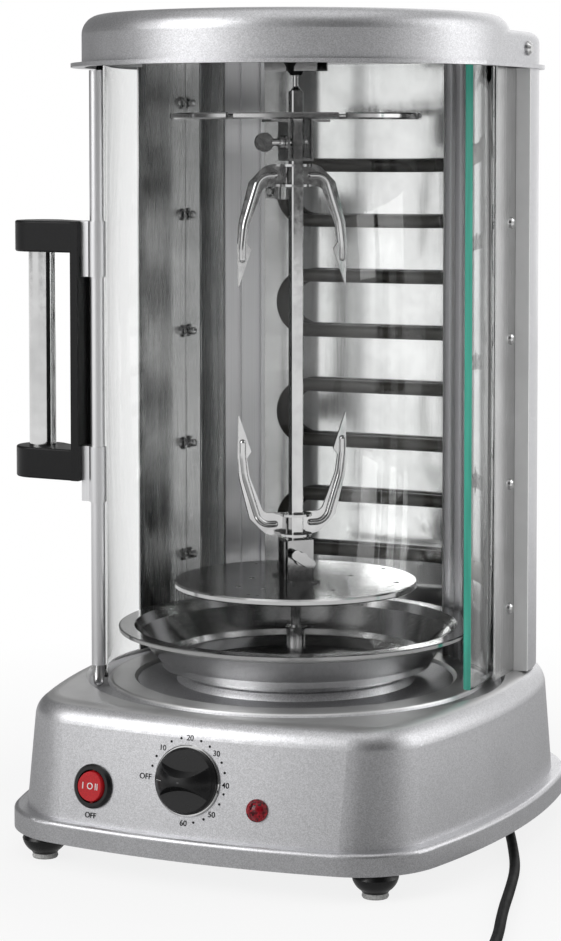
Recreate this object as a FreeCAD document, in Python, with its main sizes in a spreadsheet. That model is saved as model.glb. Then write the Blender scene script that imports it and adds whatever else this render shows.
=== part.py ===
import FreeCAD, Part
import math
import os
import Sketcher

# Electric skewer grill: a round motor base, a rear heating chamber, a lid, a curved glass door that
# turns about the spit, and the spit with its discs and forks.
# Millimetres, +Z up, front towards -Y. Z = 0 is the surface that the feet stand on.
# Every piece is drawn about the spit axis, which stands at (axis_x, axis_y) in the row frame.

Vector = FreeCAD.Vector
UP = Vector(0, 0, 1)
document = FreeCAD.newDocument("SkewerGrill")
sheet = document.addObject("Spreadsheet::Sheet", "Sizes")

SIZES = (
    ("axis_x", 7.5), ("axis_y", -6.0),
    ("fit_gap", 0.3), ("run_gap", 0.6),
    # base
    ("foot_height", 15.5), ("foot_radius", 13.5), ("pad_radius", 7.3), ("pad_height", 3.0),
    ("foot_inset", 46.8), ("foot_front", 132.0), ("foot_rear", 116.0),
    ("base_half_width", 153.3), ("base_widest", 15.0), ("base_front", 161.7), ("base_rear", 174.0),
    ("front_bow", 560.0), ("side_bow", 483.0), ("rear_bow", 600.0),
    ("front_corner", 56.0), ("rear_corner", 108.0),
    ("base_wall", 2.0), ("lip_height", 12.9), ("ledge", 8.0),
    ("base_top", 95.5), ("front_draft", 10.0), ("side_draft", 5.5), ("rear_draft", 4.0),
    ("shoulder", 14.0), ("plate_thickness", 1.5),
    ("groove_inset", 2.5), ("groove_width", 15.0), ("groove_depth", 3.2),
    ("deck_drop", 0.8), ("well_margin", 17.5), ("well_depth", 2.0),
    ("seat_radius", 72.5), ("seat_height", 5.0), ("seat_width", 7.0),
    # controls on the front face
    ("rocker_x", -66.0), ("rocker_z", 50.0), ("rocker_radius", 13.0), ("rocker_swing", 12.0),
    ("knob_x", -3.6), ("knob_z", 59.8), ("knob_radius", 19.3), ("knob_height", 13.0),
    ("lamp_x", 40.8), ("lamp_z", 47.0), ("lamp_radius", 6.5),
    # drive and spit
    ("sleeve_radius", 6.0), ("sleeve_bore", 3.3), ("sleeve_top", 125.0), ("sleeve_foot", 88.0),
    ("shaft_square", 7.5), ("spit_angle", 44.5), ("shaft_foot_radius", 3.2), ("shaft_bottom", 119.5),
    ("square_drop", 14.0), ("pin_radius", 1.7), ("pin_drop", 2.0),
    ("collar_radius", 8.0), ("collar_height", 3.0), ("motor_radius", 24.0),
    # drip tray
    ("tray_margin", 8.0), ("tray_flange", 9.5), ("tray_top", 127.0),
    ("tray_wall", 1.2), ("tray_hole", 8.0),
    # discs, brackets, forks
    ("plate_radius", 76.0), ("plate_z", 150.5), ("disc_radius", 78.0), ("disc_drop", 31.8),
    ("disc_height", 4.0), ("disc_sheet", 1.2),
    ("bracket_width", 17.0), ("bracket_depth", 17.0), ("bracket_height", 25.5),
    ("bracket_sheet", 1.5), ("bracket_foot", 11.0), ("screw_level", 14.0), ("screw_radius", 2.3),
    ("fork_sheet", 1.5), ("fork_setback", 5.5), ("fork_spread", 33.3), ("fork_rib_radius", 2.1),
    ("fork_rib_end", 54.0), ("fork_tip", 69.0), ("fork_barb", 46.0),
    ("fork_hub_height", 14.0), ("fork_hub_radius", 10.0),
    ("lower_hub_z", 182.0), ("upper_hub_drop", 59.3), ("point_gap", 0.1),
    # door
    ("glass_inner", 118.5), ("glass_thickness", 5.0), ("glass_bottom", 97.5),
    ("glass_rise", 5.0), ("stile_angle", -54.0), ("glass_sweep", 224.0),
    ("track_wall", 1.2), ("track_half_angle", 99.0),
    ("stile_offset", 6.0), ("stile_radius", 4.3), ("stile_bottom", 106.0), ("stile_drop", 2.0),
    ("handle_bottom", 219.6), ("handle_drop", 94.0), ("arm_height", 19.2),
    ("grip_radius", 8.4), ("grip_reach", 45.3), ("grip_offset", 13.0), ("arm_end_radius", 16.5),
    ("strip_reach", 10.5), ("strip_thickness", 5.0), ("strip_width", 19.0),
    # rear chamber
    ("shell_margin", 13.5), ("shell_rear", 158.0), ("shell_corner", 95.0),
    ("shell_front", 60.0), ("shell_sheet", 1.2),
    ("wall_margin", 3.5), ("wall_sheet", 1.0), ("wall_front", 25.0), ("wall_rear", 95.0),
    ("wall_slant", 38.0), ("reflector_y", 139.0),
    ("pillar_angle", 41.0), ("pillar_margin", 4.2), ("pillar_width", 27.0), ("pillar_depth", 5.6),
    ("heater_radius", 4.3), ("heater_y", 131.0), ("heater_margin", 17.5), ("heater_drop", 62.0),
    ("heater_bottom", 152.7),
    # lid
    ("lid_lip", 6.8), ("lid_bottom", 473.0), ("lid_rise", 35.0),
    ("lid_crown", 3.0), ("lid_edge", 12.0), ("lid_rear_rise", 23.0), ("lid_rear_edge", 7.0),
    ("lid_wall", 1.5),
    ("ceiling_rise", 12.0), ("bearing_drop", 2.0), ("bearing_half", 17.5), ("bearing_depth", 18.0),
)

for row, (name, number) in enumerate(SIZES, start=1):
    sheet.set("A%d" % row, name)
    sheet.set("B%d" % row, "%g" % number)
    sheet.setAlias("B%d" % row, name)
document.recompute()


class Size:
    """A length or an angle: its number, and the spreadsheet expression that gives it."""

    def __init__(self, number, text):
        self.number = number
        self.text = text

    def join(self, sign, other, number):
        text = other.text if isinstance(other, Size) else "%g" % other
        return Size(number, "(%s %s %s)" % (self.text, sign, text))

    def __add__(self, other):
        return self.join("+", other, self.number + value(other))

    def __sub__(self, other):
        return self.join("-", other, self.number - value(other))

    def __mul__(self, other):
        return self.join("*", other, self.number * value(other))

    def __truediv__(self, other):
        return self.join("/", other, self.number / value(other))

    def __neg__(self):
        return Size(-self.number, "(0 - %s)" % self.text)

    __radd__ = __add__
    __rmul__ = __mul__

    def __rsub__(self, other):
        return (-self) + other


def value(size):
    return size.number if isinstance(size, Size) else float(size)


class Book:
    """The sheet's cells as attributes."""

    def __getattr__(self, name):
        return Size(float(sheet.get(name)), "Sizes." + name)


s = Book()
pieces = {}

# sizes that follow the lid's height
s.ceiling_z = s.lid_bottom + s.ceiling_rise
s.lid_top = s.lid_bottom + s.lid_rise
s.lid_rear_top = s.lid_bottom + s.lid_rear_rise
s.glass_top = s.lid_bottom + s.glass_rise
s.stile_top = s.lid_bottom - s.stile_drop
s.handle_top = s.lid_bottom - s.handle_drop
s.bearing_z = s.lid_bottom - s.bearing_drop
s.pin_top = s.lid_bottom - s.pin_drop
s.square_top = s.lid_bottom - s.square_drop
s.disc_z = s.lid_bottom - s.disc_drop
s.upper_hub_top = s.lid_bottom - s.upper_hub_drop
s.heater_pitch = (s.lid_bottom - s.heater_drop - s.heater_bottom) / 7

# sizes that follow the glass's radius, the tray seat's and the base's width
s.groove_inner = s.glass_inner - s.groove_inset
s.groove_outer = s.groove_inner + s.groove_width
s.well_radius = s.glass_inner - s.well_margin
s.tray_rim = s.glass_inner - s.tray_margin
s.stile_ring = s.glass_inner + s.stile_offset
s.wall_inside = s.glass_inner + s.wall_margin
s.pillar_ring = s.glass_inner - s.pillar_margin
s.shell_half_width = s.glass_inner + s.shell_margin
s.lid_radius = s.shell_half_width
s.reflector_half = s.wall_inside - s.wall_slant
s.heater_half = s.reflector_half - s.heater_margin
s.tray_foot = s.seat_radius
s.foot_spread = s.base_half_width - s.foot_inset


def bind(target, path, size):
    """Ties a property to the sheet, or sets a plain number."""
    if isinstance(size, Size):
        target.setExpression(path, size.text)
    else:
        target.setExpression(path, "%g" % size)


def place(target, x=0.0, y=0.0, z=0.0, turn=0.0):
    """Puts a piece at x, y, z from the spit axis, turned about Z by turn degrees."""
    target.Placement = FreeCAD.Placement(Vector(0, 0, 0), FreeCAD.Rotation(UP, value(turn)))
    bind(target, "Placement.Base.x", s.axis_x + x)
    bind(target, "Placement.Base.y", s.axis_y + y)
    bind(target, "Placement.Base.z", z)


def plain(label, shape, turn=0.0):
    """A piece whose shape is made by Part's own functions, about the spit axis."""
    feature = document.addObject("Part::Feature", label)
    feature.Label = label
    spot = FreeCAD.Placement(
        Vector(value(s.axis_x), value(s.axis_y), 0), FreeCAD.Rotation(UP, value(turn)))
    placed = shape.copy()
    placed.Placement = spot.multiply(shape.Placement)
    feature.Shape = placed
    pieces[label] = feature
    return feature


def body(label, **where):
    """A PartDesign body that is one piece."""
    made = document.addObject("PartDesign::Body", label)
    made.Label = label
    place(made, **where)
    pieces[label] = made
    return made


def plane_of(made, role):
    return [item for item in made.Origin.OriginFeatures if item.Role == role][0]


def sketch_on(made, role, lift=0.0):
    """An empty sketch on one of the body's own origin planes, lifted along its normal."""
    drawing = made.newObject("Sketcher::SketchObject", made.Label + "_sketch")
    drawing.AttachmentSupport = [(plane_of(made, role), "")]
    drawing.MapMode = "FlatFace"
    bind(drawing, "AttachmentOffset.Base.z", lift)
    return drawing


def pin_point(drawing, index, vertex, x, y, tag):
    """Ties one vertex of a sketch to the sheet."""
    for axis, size in (("X", x), ("Y", y)):
        number = drawing.addConstraint(
            Sketcher.Constraint("Distance" + axis, -1, 1, index, vertex, value(size)))
        label = "%s_%s" % (tag, axis.lower())
        drawing.renameConstraint(number, label)
        if isinstance(size, Size):
            drawing.setExpression("Constraints." + label, size.text)


def outline(drawing, corners, tag="p"):
    """A closed outline. A corner is (x, y), reached by a line, or (x, y, radius, side), reached by an
    arc whose centre is to the left (side 1) or the right (side -1) of the way it is drawn."""
    points = [Vector(value(c[0]), value(c[1]), 0) for c in corners]
    count = len(corners)
    first = drawing.GeometryCount
    starts = []
    for index in range(count):
        begin, end = points[index], points[(index + 1) % count]
        goal = corners[(index + 1) % count]
        if len(goal) == 2:
            drawing.addGeometry(Part.LineSegment(begin, end), False)
            starts.append(1)
        else:
            radius, side = value(goal[2]), goal[3]
            chord = end - begin
            half = chord.Length / 2
            rise = math.sqrt(max(radius * radius - half * half, 0.0))
            left = Vector(-chord.y, chord.x, 0) / chord.Length
            centre = (begin + end) / 2 + left * (rise * side)
            low, high = (begin, end) if side > 0 else (end, begin)
            angles = [math.atan2(p.y - centre.y, p.x - centre.x) for p in (low, high)]
            circle = Part.Circle(centre, UP, radius)
            drawing.addGeometry(Part.ArcOfCircle(circle, angles[0], angles[1]), False)
            starts.append(1 if side > 0 else 2)
    for index in range(count):
        here, after = first + index, first + (index + 1) % count
        drawing.addConstraint(Sketcher.Constraint(
            "Coincident", here, 3 - starts[index], after, starts[(index + 1) % count]))
        pin_point(drawing, here, starts[index], corners[index][0], corners[index][1],
                  "%s%d" % (tag, index))
        goal = corners[(index + 1) % count]
        if len(goal) == 4:
            number = drawing.addConstraint(Sketcher.Constraint("Radius", here, value(goal[2])))
            label = "%sr%d" % (tag, index)
            drawing.renameConstraint(number, label)
            if isinstance(goal[2], Size):
                drawing.setExpression("Constraints." + label, goal[2].text)


def ring(drawing, x, y, radius, tag="c"):
    """A full circle in a sketch."""
    index = drawing.addGeometry(
        Part.Circle(Vector(value(x), value(y), 0), UP, value(radius)), False)
    pin_point(drawing, index, 3, x, y, tag)
    number = drawing.addConstraint(Sketcher.Constraint("Radius", index, value(radius)))
    drawing.renameConstraint(number, tag + "_radius")
    if isinstance(radius, Size):
        drawing.setExpression("Constraints." + tag + "_radius", radius.text)


def box_outline(x0, y0, x1, y1):
    return [(x0, y0), (x1, y0), (x1, y1), (x0, y1)]


def feature(made, kind, drawing, **sizes):
    """A PartDesign feature on a sketch; sizes that are numbers of the sheet stay tied to it."""
    item = made.newObject("PartDesign::" + kind, made.Label + "_" + kind.lower())
    item.Profile = drawing
    if kind in ("Revolution", "Groove"):
        item.ReferenceAxis = (drawing, ["V_Axis"])
        item.Angle = 360.0
    for name, size in sizes.items():
        if isinstance(size, Size):
            bind(item, name, size)
        else:
            setattr(item, name, size)
    drawing.Visibility = False
    return item


def turned(label, corners, **where):
    """A body revolved about its own Z axis from (radius, height) corners."""
    made = body(label, **where)
    drawing = sketch_on(made, "XZ_Plane")
    outline(drawing, corners)
    feature(made, "Revolution", drawing)
    return made


def ring_point(radius, angle, z=0.0):
    """A point on a circle about the spit; the angle is counted from the front, towards +X."""
    turn = math.radians(value(angle))
    return Vector(value(radius) * math.sin(turn), -value(radius) * math.cos(turn), value(z))


def rounded_path(points, radii):
    """A wire of straight runs joined by tangent arcs."""
    edges = []
    start = points[0]
    for before, corner, after, radius in zip(points, points[1:], points[2:], radii):
        inward = (before - corner).normalize()
        outward = (after - corner).normalize()
        half = inward.getAngle(outward) / 2
        reach = radius / math.tan(half)
        entry, leave = corner + inward * reach, corner + outward * reach
        bisector = (inward + outward).normalize()
        middle = corner + bisector * (radius / math.sin(half) - radius)
        if (entry - start).Length > 1e-6:
            edges.append(Part.LineSegment(start, entry).toShape())
        edges.append(Part.Arc(entry, middle, leave).toShape())
        start = leave
    edges.append(Part.LineSegment(start, points[-1]).toShape())
    return Part.Wire(edges)


def tube(path, radius):
    """A round rod along a wire."""
    start = path.Edges[0].valueAt(path.Edges[0].FirstParameter)
    along = path.Edges[0].tangentAt(path.Edges[0].FirstParameter)
    section = Part.Wire([Part.Circle(start, along, radius).toShape()])
    return path.makePipeShell([section], True, False)


def bead(centre, axis, radius, height):
    """A pan-head screw: a low bevelled head standing on a point along an axis."""
    foot = Part.makeCylinder(radius, height * 0.45, centre, axis)
    return foot.fuse(Part.makeCone(radius, radius * 0.6, height * 0.55,
                                   centre + axis * (height * 0.45), axis)).removeSplitter()


# ---------------------------------------------------------------- base outline

def meet(centre_a, radius_a, centre_b, radius_b, towards):
    """Where two circles cross, on the side nearer to a point."""
    gap = centre_b - centre_a
    along = (gap.Length ** 2 + radius_a ** 2 - radius_b ** 2) / (2 * gap.Length)
    aside = math.sqrt(radius_a ** 2 - along ** 2)
    unit = Vector(gap.x, gap.y, 0) / gap.Length
    across = Vector(-unit.y, unit.x, 0)
    options = [centre_a + unit * along + across * (aside * sign) for sign in (1, -1)]
    return min(options, key=lambda point: (point - towards).Length)


def base_wire(height, front_inset, side_inset, rear_inset):
    """The base's bowed outline, drawn in by the insets: a front, two side and a rear arc of long
    radius, joined by tangent corner arcs."""
    half = value(s.base_half_width) - side_inset
    front = value(s.base_front) - front_inset
    rear = value(s.base_rear) - rear_inset
    bows = [value(s.front_bow) - front_inset, value(s.side_bow) - side_inset,
            value(s.rear_bow) - rear_inset]
    front_radius = value(s.front_corner) - (front_inset + side_inset) / 2
    rear_radius = value(s.rear_corner) - (side_inset + rear_inset) / 2
    front_centre = Vector(0, bows[0] - front, height)
    side_centre = Vector(half - bows[1], value(s.base_widest), height)
    rear_centre = Vector(0, rear - bows[2], height)
    low = meet(front_centre, bows[0] - front_radius, side_centre, bows[1] - front_radius,
               Vector(half, -front, height))
    high = meet(side_centre, bows[1] - rear_radius, rear_centre, bows[2] - rear_radius,
                Vector(half, rear, height))

    def across(point):
        return Vector(-point.x, point.y, point.z)

    def reach(centre, other, radius):
        return centre + (other - centre).normalize() * radius

    ends = [reach(front_centre, low, bows[0]), reach(side_centre, low, bows[1]),
            reach(side_centre, high, bows[1]), reach(rear_centre, high, bows[2])]
    middles = [reach(low, (ends[0] + ends[1]) / 2, front_radius),
               Vector(half, value(s.base_widest), height),
               reach(high, (ends[2] + ends[3]) / 2, rear_radius)]
    right = list(zip(ends, middles, ends[1:]))
    left = [(across(stop), across(middle), across(start)) for start, middle, stop in reversed(right)]
    runs = [(across(ends[0]), Vector(0, -front, height), ends[0])] + right
    runs += [(ends[3], Vector(0, rear, height), across(ends[3]))] + left
    return Part.Wire([Part.Arc(*run).toShape() for run in runs])


def base_block(bottom, top, inset_bottom, inset_top, edge=0.0):
    """A solid between two base outlines, its top edge rounded."""
    block = Part.makeLoft([base_wire(bottom, *inset_bottom), base_wire(top, *inset_top)], True, True)
    if edge:
        rim = [item for item in block.Edges
               if abs(item.BoundBox.ZMin - top) < 1e-3 and abs(item.BoundBox.ZMax - top) < 1e-3]
        block = block.makeFillet(edge, rim)
    return block


def revolved(corners):
    """A solid of revolution about the spit axis from (radius, height) numbers."""
    points = [Vector(value(r), 0, value(z)) for r, z in corners]
    face = Part.Face(Part.makePolygon(points + points[:1]))
    return face.revolve(Vector(0, 0, 0), UP, 360)


def front_face_frame(x, z):
    """A point of the sloping front face and its outward normal."""
    rise = value(s.base_top) - value(s.foot_height) - value(s.lip_height)
    slope = (value(s.front_draft)) / rise
    y = -(value(s.base_front) - value(s.ledge)) + slope * (value(z) - value(s.foot_height)
                                                           - value(s.lip_height))
    y += value(x) ** 2 / (2 * value(s.front_bow))
    normal = Vector(value(x) / value(s.front_bow), -1, slope).normalize()
    return Vector(value(x), y, value(z)), normal


def build_base():
    lip_top = value(s.foot_height + s.lip_height)
    low = value(s.foot_height)
    top = value(s.base_top)
    wall = value(s.base_wall)
    ledge = value(s.ledge)
    inset_low = [ledge] * 3
    inset_top = [ledge + value(s.front_draft), ledge + value(s.side_draft),
                 ledge + value(s.rear_draft)]
    lip = base_block(low, lip_top, [0] * 3, [0] * 3, 2.5)
    crown = base_block(lip_top - 1, top, inset_low, inset_top, value(s.shoulder))
    lip_inside = base_block(low - 1, lip_top - wall, [wall] * 3, [wall] * 3)
    deck = top - value(s.deck_drop)
    well = deck - value(s.well_depth)
    room_top = well - wall
    inside = base_block(lip_top - wall - 1, room_top, [inset + wall for inset in inset_low],
                        [inset + wall for inset in inset_top], value(s.shoulder) - wall)
    groove_in, groove_out = value(s.groove_inner), value(s.groove_outer)
    floor = top - value(s.groove_depth)
    trough = revolved([(groove_in - wall, floor - wall - 0.5), (groove_out + wall, floor - wall - 0.5),
                       (groove_out + wall, top), (groove_in - wall, top)])
    inside = inside.cut(trough)
    groove = revolved([(groove_in + 1.5, floor), (groove_out - 2.5, floor), (groove_out, top + 0.2),
                       (groove_out, top + 20), (0, top + 20), (0, deck), (groove_in - 1.5, deck),
                       (groove_in, deck - 0.4)])
    dish = revolved([(0, well), (value(s.well_radius) - 2.5, well), (value(s.well_radius), deck + 0.2),
                     (0, deck + 0.2)])
    shell = lip.fuse(crown).cut(lip_inside).cut(inside).cut(groove).cut(dish)
    holes = [Part.makeCylinder(value(s.sleeve_radius + s.run_gap), 40, Vector(0, 0, well - 20))]
    for x, z, radius in ((s.rocker_x, s.rocker_z, s.rocker_radius - 2.2),
                         (s.knob_x, s.knob_z, 4.5),
                         (s.lamp_x, s.lamp_z, s.lamp_radius - 1.2)):
        point, normal = front_face_frame(x, z)
        holes.append(Part.makeCylinder(value(radius), 30, point - normal * 15, normal))
    for hole in holes:
        shell = shell.cut(hole)
    plain("base_shell", shell.removeSplitter())

    edge = wall + value(s.fit_gap)
    plate = base_block(low, low + value(s.plate_thickness), [edge] * 3, [edge] * 3)
    slot = Part.makeBox(46, 4, 10, Vector(-23, 0, low - 2))
    for step in range(7):
        shifted = slot.copy()
        shifted.translate(Vector(0, -42 + 14 * step, 0))
        plate = plate.cut(shifted)
    plain("bottom_plate", plate)


build_base()

# ---------------------------------------------------------------- feet

FEET = (("foot_front_left", -1, -1), ("foot_front_right", 1, -1),
        ("foot_rear_left", -1, 1), ("foot_rear_right", 1, 1))
pads = []
for label, side, end in FEET:
    x = s.foot_spread * side
    y = -s.foot_front if end < 0 else s.foot_rear
    waist = s.pad_radius + 1.2
    turned(label, [
        (0, s.pad_height), (waist - 1.0, s.pad_height), (waist, s.pad_height + 1.4),
        (s.foot_radius, s.foot_height - 3.5, s.foot_radius - 2.0, 1),
        (s.foot_radius - 1.2, s.foot_height), (0, s.foot_height)], x=x, y=y)
    pad = revolved([(0, 0), (s.pad_radius, 0), (s.pad_radius + 0.5, 1.0),
                    (s.pad_radius, s.pad_height), (0, s.pad_height)])
    pad.translate(Vector(value(x), value(y), 0))
    pads.append(pad)
plain("foot_pads", Part.makeCompound(pads))

# ---------------------------------------------------------------- tray seat and drive

turned("tray_seat", [
    (s.seat_radius - s.seat_width, 0), (s.seat_radius + 2.0, 0),
    (s.seat_radius, s.seat_height - 1.5), (s.seat_radius - 2.0, s.seat_height, 2.2, 1),
    (s.seat_radius - s.seat_width, s.seat_height)],
    z=s.base_top - s.deck_drop - s.well_depth)

sleeve_length = s.sleeve_top - s.sleeve_foot
socket = s.shaft_bottom - s.sleeve_foot - s.fit_gap
collar = s.sleeve_radius + 0.7
turned("drive_sleeve", [
    (0, 0), (s.sleeve_radius - 1.0, 0), (s.sleeve_radius, 1.0),
    (s.sleeve_radius, sleeve_length - 1.8), (collar, sleeve_length - 1.5),
    (collar, sleeve_length - 0.4), (collar - 0.4, sleeve_length),
    (s.sleeve_bore + 0.6, sleeve_length), (s.sleeve_bore, sleeve_length - 0.6),
    (s.sleeve_bore, socket), (0, socket)], z=s.sleeve_foot)


def build_motor():
    """A flat synchronous gear motor hung under the deck on two posts, below the drive sleeve."""
    top = value(s.sleeve_foot) - value(s.fit_gap)
    radius = value(s.motor_radius)
    can = Part.makeCylinder(radius, 21, Vector(0, 0, top - 36))
    gearbox = Part.makeCylinder(radius + 1.5, 15, Vector(0, 0, top - 15))
    reach = radius + 10
    ears = Part.makeBox(2 * reach, 12, 2, Vector(-reach, -6, top - 2))
    plain("gear_motor", can.fuse(gearbox).fuse(ears).removeSplitter())
    deck_under = value(s.base_top - s.deck_drop - s.well_depth - s.base_wall)
    posts = [Part.makeCylinder(3.5, deck_under - top, Vector(side * (reach - 4.5), 0, top))
             for side in (-1, 1)]
    plain("motor_posts", Part.makeCompound(posts))


build_motor()

# ---------------------------------------------------------------- drip tray

rim, top_z, foot_r, skin = s.tray_rim, s.tray_top, s.tray_foot, s.tray_wall
seat_z = s.base_top - s.deck_drop - s.well_depth + s.seat_height
lip_in = rim - s.tray_flange
drop = top_z - seat_z
turned("drip_tray", [
    (s.tray_hole, skin), (s.tray_hole, 0.0), (foot_r, 0.0),
    (foot_r + 12.0, 5.0), (foot_r + 13.5, 9.0), (lip_in - 3.0, drop - 6.5),
    (lip_in + 0.6, drop - skin - 0.6), (rim - 1.0, drop - skin - 0.4), (rim - 0.6, drop - 2.4),
    (rim, drop - 2.4), (rim + 0.2, drop - 0.4), (rim - 0.8, drop),
    (lip_in, drop), (lip_in - 3.6, drop - 5.4), (foot_r + 12.2, 9.6), (foot_r + 10.8, 6.0),
    (foot_r - 0.6, skin)], z=seat_z)

# ---------------------------------------------------------------- spit shaft

collar_top = s.plate_z + s.disc_height - s.disc_sheet


def build_shaft():
    """A square bar with chamfered edges, a round foot, a collar under the plate and a top pin."""
    made = body("spit_shaft")
    base = sketch_on(made, "XY_Plane", collar_top)
    half = s.shaft_square / 2
    cut = half - 0.7
    outline(base, [(-cut, -half), (cut, -half), (half, -cut), (half, cut),
                   (cut, half), (-cut, half), (-half, cut), (-half, -cut)])
    feature(made, "Pad", base, Length=s.square_top - collar_top)
    ends = sketch_on(made, "XZ_Plane")
    outline(ends, [(0, s.shaft_bottom), (s.shaft_foot_radius - 0.6, s.shaft_bottom),
                   (s.shaft_foot_radius, s.shaft_bottom + 0.6),
                   (s.shaft_foot_radius, collar_top - s.collar_height),
                   (s.collar_radius, collar_top - s.collar_height), (s.collar_radius, collar_top),
                   (half - 0.2, collar_top), (half - 0.2, s.square_top),
                   (s.pin_radius + 0.4, s.square_top + 2.0), (s.pin_radius, s.square_top + 2.6),
                   (s.pin_radius, s.pin_top - 0.8), (s.pin_radius - 0.7, s.pin_top),
                   (0, s.pin_top)])
    feature(made, "Revolution", ends)


build_shaft()

# ---------------------------------------------------------------- discs

def build_disc(label, radius, bottom, up, pierce, count):
    """A pressed disc with a square hole for the shaft. Its rim is turned up (up 1) or down (up -1),
    and it is pierced near the rim by a cut that repeats round it."""
    skin, height = s.disc_sheet, s.disc_height * up
    face = 0.0 if up > 0 else s.disc_height
    made = turned(label, [
        (0, face), (radius - 1.0, face), (radius, face + 1.0 * up), (radius, face + height - 0.8 * up),
        (radius - 0.6, face + height), (radius - 2.0, face + height), (radius - 2.4, face + height
                                                                       - 0.6 * up),
        (radius - 2.4, face + skin * up), (0, face + skin * up)], z=bottom)
    opening = sketch_on(made, "XY_Plane")
    half = s.shaft_square / 2 + s.fit_gap
    outline(opening, box_outline(-half, -half, half, half))
    feature(made, "Pocket", opening, Length=s.disc_height + 1.0, Reversed=True)
    pattern_sketch = sketch_on(made, "XY_Plane")
    pierce(pattern_sketch, radius)
    cut = feature(made, "Pocket", pattern_sketch, Length=s.disc_height + 1.0, Reversed=True)
    document.recompute()
    pattern = made.newObject("PartDesign::PolarPattern", label + "_round")
    pattern.Originals = [cut]
    pattern.Axis = (pattern_sketch, ["N_Axis"])
    pattern.Angle = 360.0
    pattern.Occurrences = count
    made.Tip = pattern
    return made


def paired_holes(drawing, radius):
    ring(drawing, -3.0, -(radius - 12.0), 1.2, "a")
    ring(drawing, 3.0, -(radius - 12.0), 1.2, "b")


def skewer_notch(drawing, radius):
    outline(drawing, box_outline(-2.6, -(radius + 2.0), 2.6, -(radius - 9.0)))


build_disc("lower_plate", s.plate_radius, s.plate_z, -1, paired_holes, 8)
build_disc("upper_disc", s.disc_radius, s.disc_z, 1, skewer_notch, 7)

# ---------------------------------------------------------------- brackets

def build_bracket(label, foot, up):
    """A strip bent to a hat: two feet on the disc, two leaves, and a web with the shaft's square
    hole. The leaves have the clamp screw's hole. up is 1 when it stands and -1 when it hangs."""
    half, deep, skin = s.bracket_width / 2, s.bracket_depth / 2, s.bracket_sheet
    tall = s.bracket_height * up
    made = body(label, z=foot)
    hat = sketch_on(made, "YZ_Plane")
    far = deep + s.bracket_foot
    outline(hat, [(-far, 0), (skin - deep, 0), (skin - deep, tall - skin * up),
                  (deep - skin, tall - skin * up), (deep - skin, 0), (far, 0), (far, skin * up),
                  (deep, skin * up), (deep, tall), (-deep, tall), (-deep, skin * up),
                  (-far, skin * up)])
    feature(made, "Pad", hat, Length=half * 2, Midplane=True)
    web = sketch_on(made, "XY_Plane", tall + skin if up > 0 else tall + skin * 2)
    gap = s.shaft_square / 2 + s.fit_gap
    outline(web, box_outline(-gap, -gap, gap, gap))
    feature(made, "Pocket", web, Length=skin * 3)
    hole = sketch_on(made, "XZ_Plane")
    ring(hole, 0.0, s.screw_level * up, s.screw_radius + 0.1)
    feature(made, "Pocket", hole, Length=deep * 3, Midplane=True)
    return made


lower_foot_z = s.plate_z + s.disc_height
build_bracket("lower_bracket", lower_foot_z, 1)
build_bracket("upper_bracket", s.disc_z, -1)

# ---------------------------------------------------------------- forks

def rounded_loop(corners, y):
    """A closed wire in the plane at y from (x, z, radius) corners, rounded where radius is not 0."""
    points = [Vector(x, y, z) for x, z, _ in corners]
    edges, ends = [], []
    count = len(points)
    for index, (_, _, radius) in enumerate(corners):
        before, corner, after = points[index - 1], points[index], points[(index + 1) % count]
        if not radius:
            ends.append((corner, corner))
            continue
        inward, outward = (before - corner).normalize(), (after - corner).normalize()
        half = inward.getAngle(outward) / 2
        reach = radius / math.tan(half)
        middle = corner + (inward + outward).normalize() * (radius / math.sin(half) - radius)
        ends.append((corner + inward * reach, corner + outward * reach))
        edges.append(Part.Arc(ends[-1][0], middle, ends[-1][1]).toShape())
    for index in range(count):
        start, stop = ends[index][1], ends[(index + 1) % count][0]
        if (stop - start).Length > 1e-6:
            edges.append(Part.LineSegment(start, stop).toShape())
    return Part.Wire(Part.__sortEdges__(edges))


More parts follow.
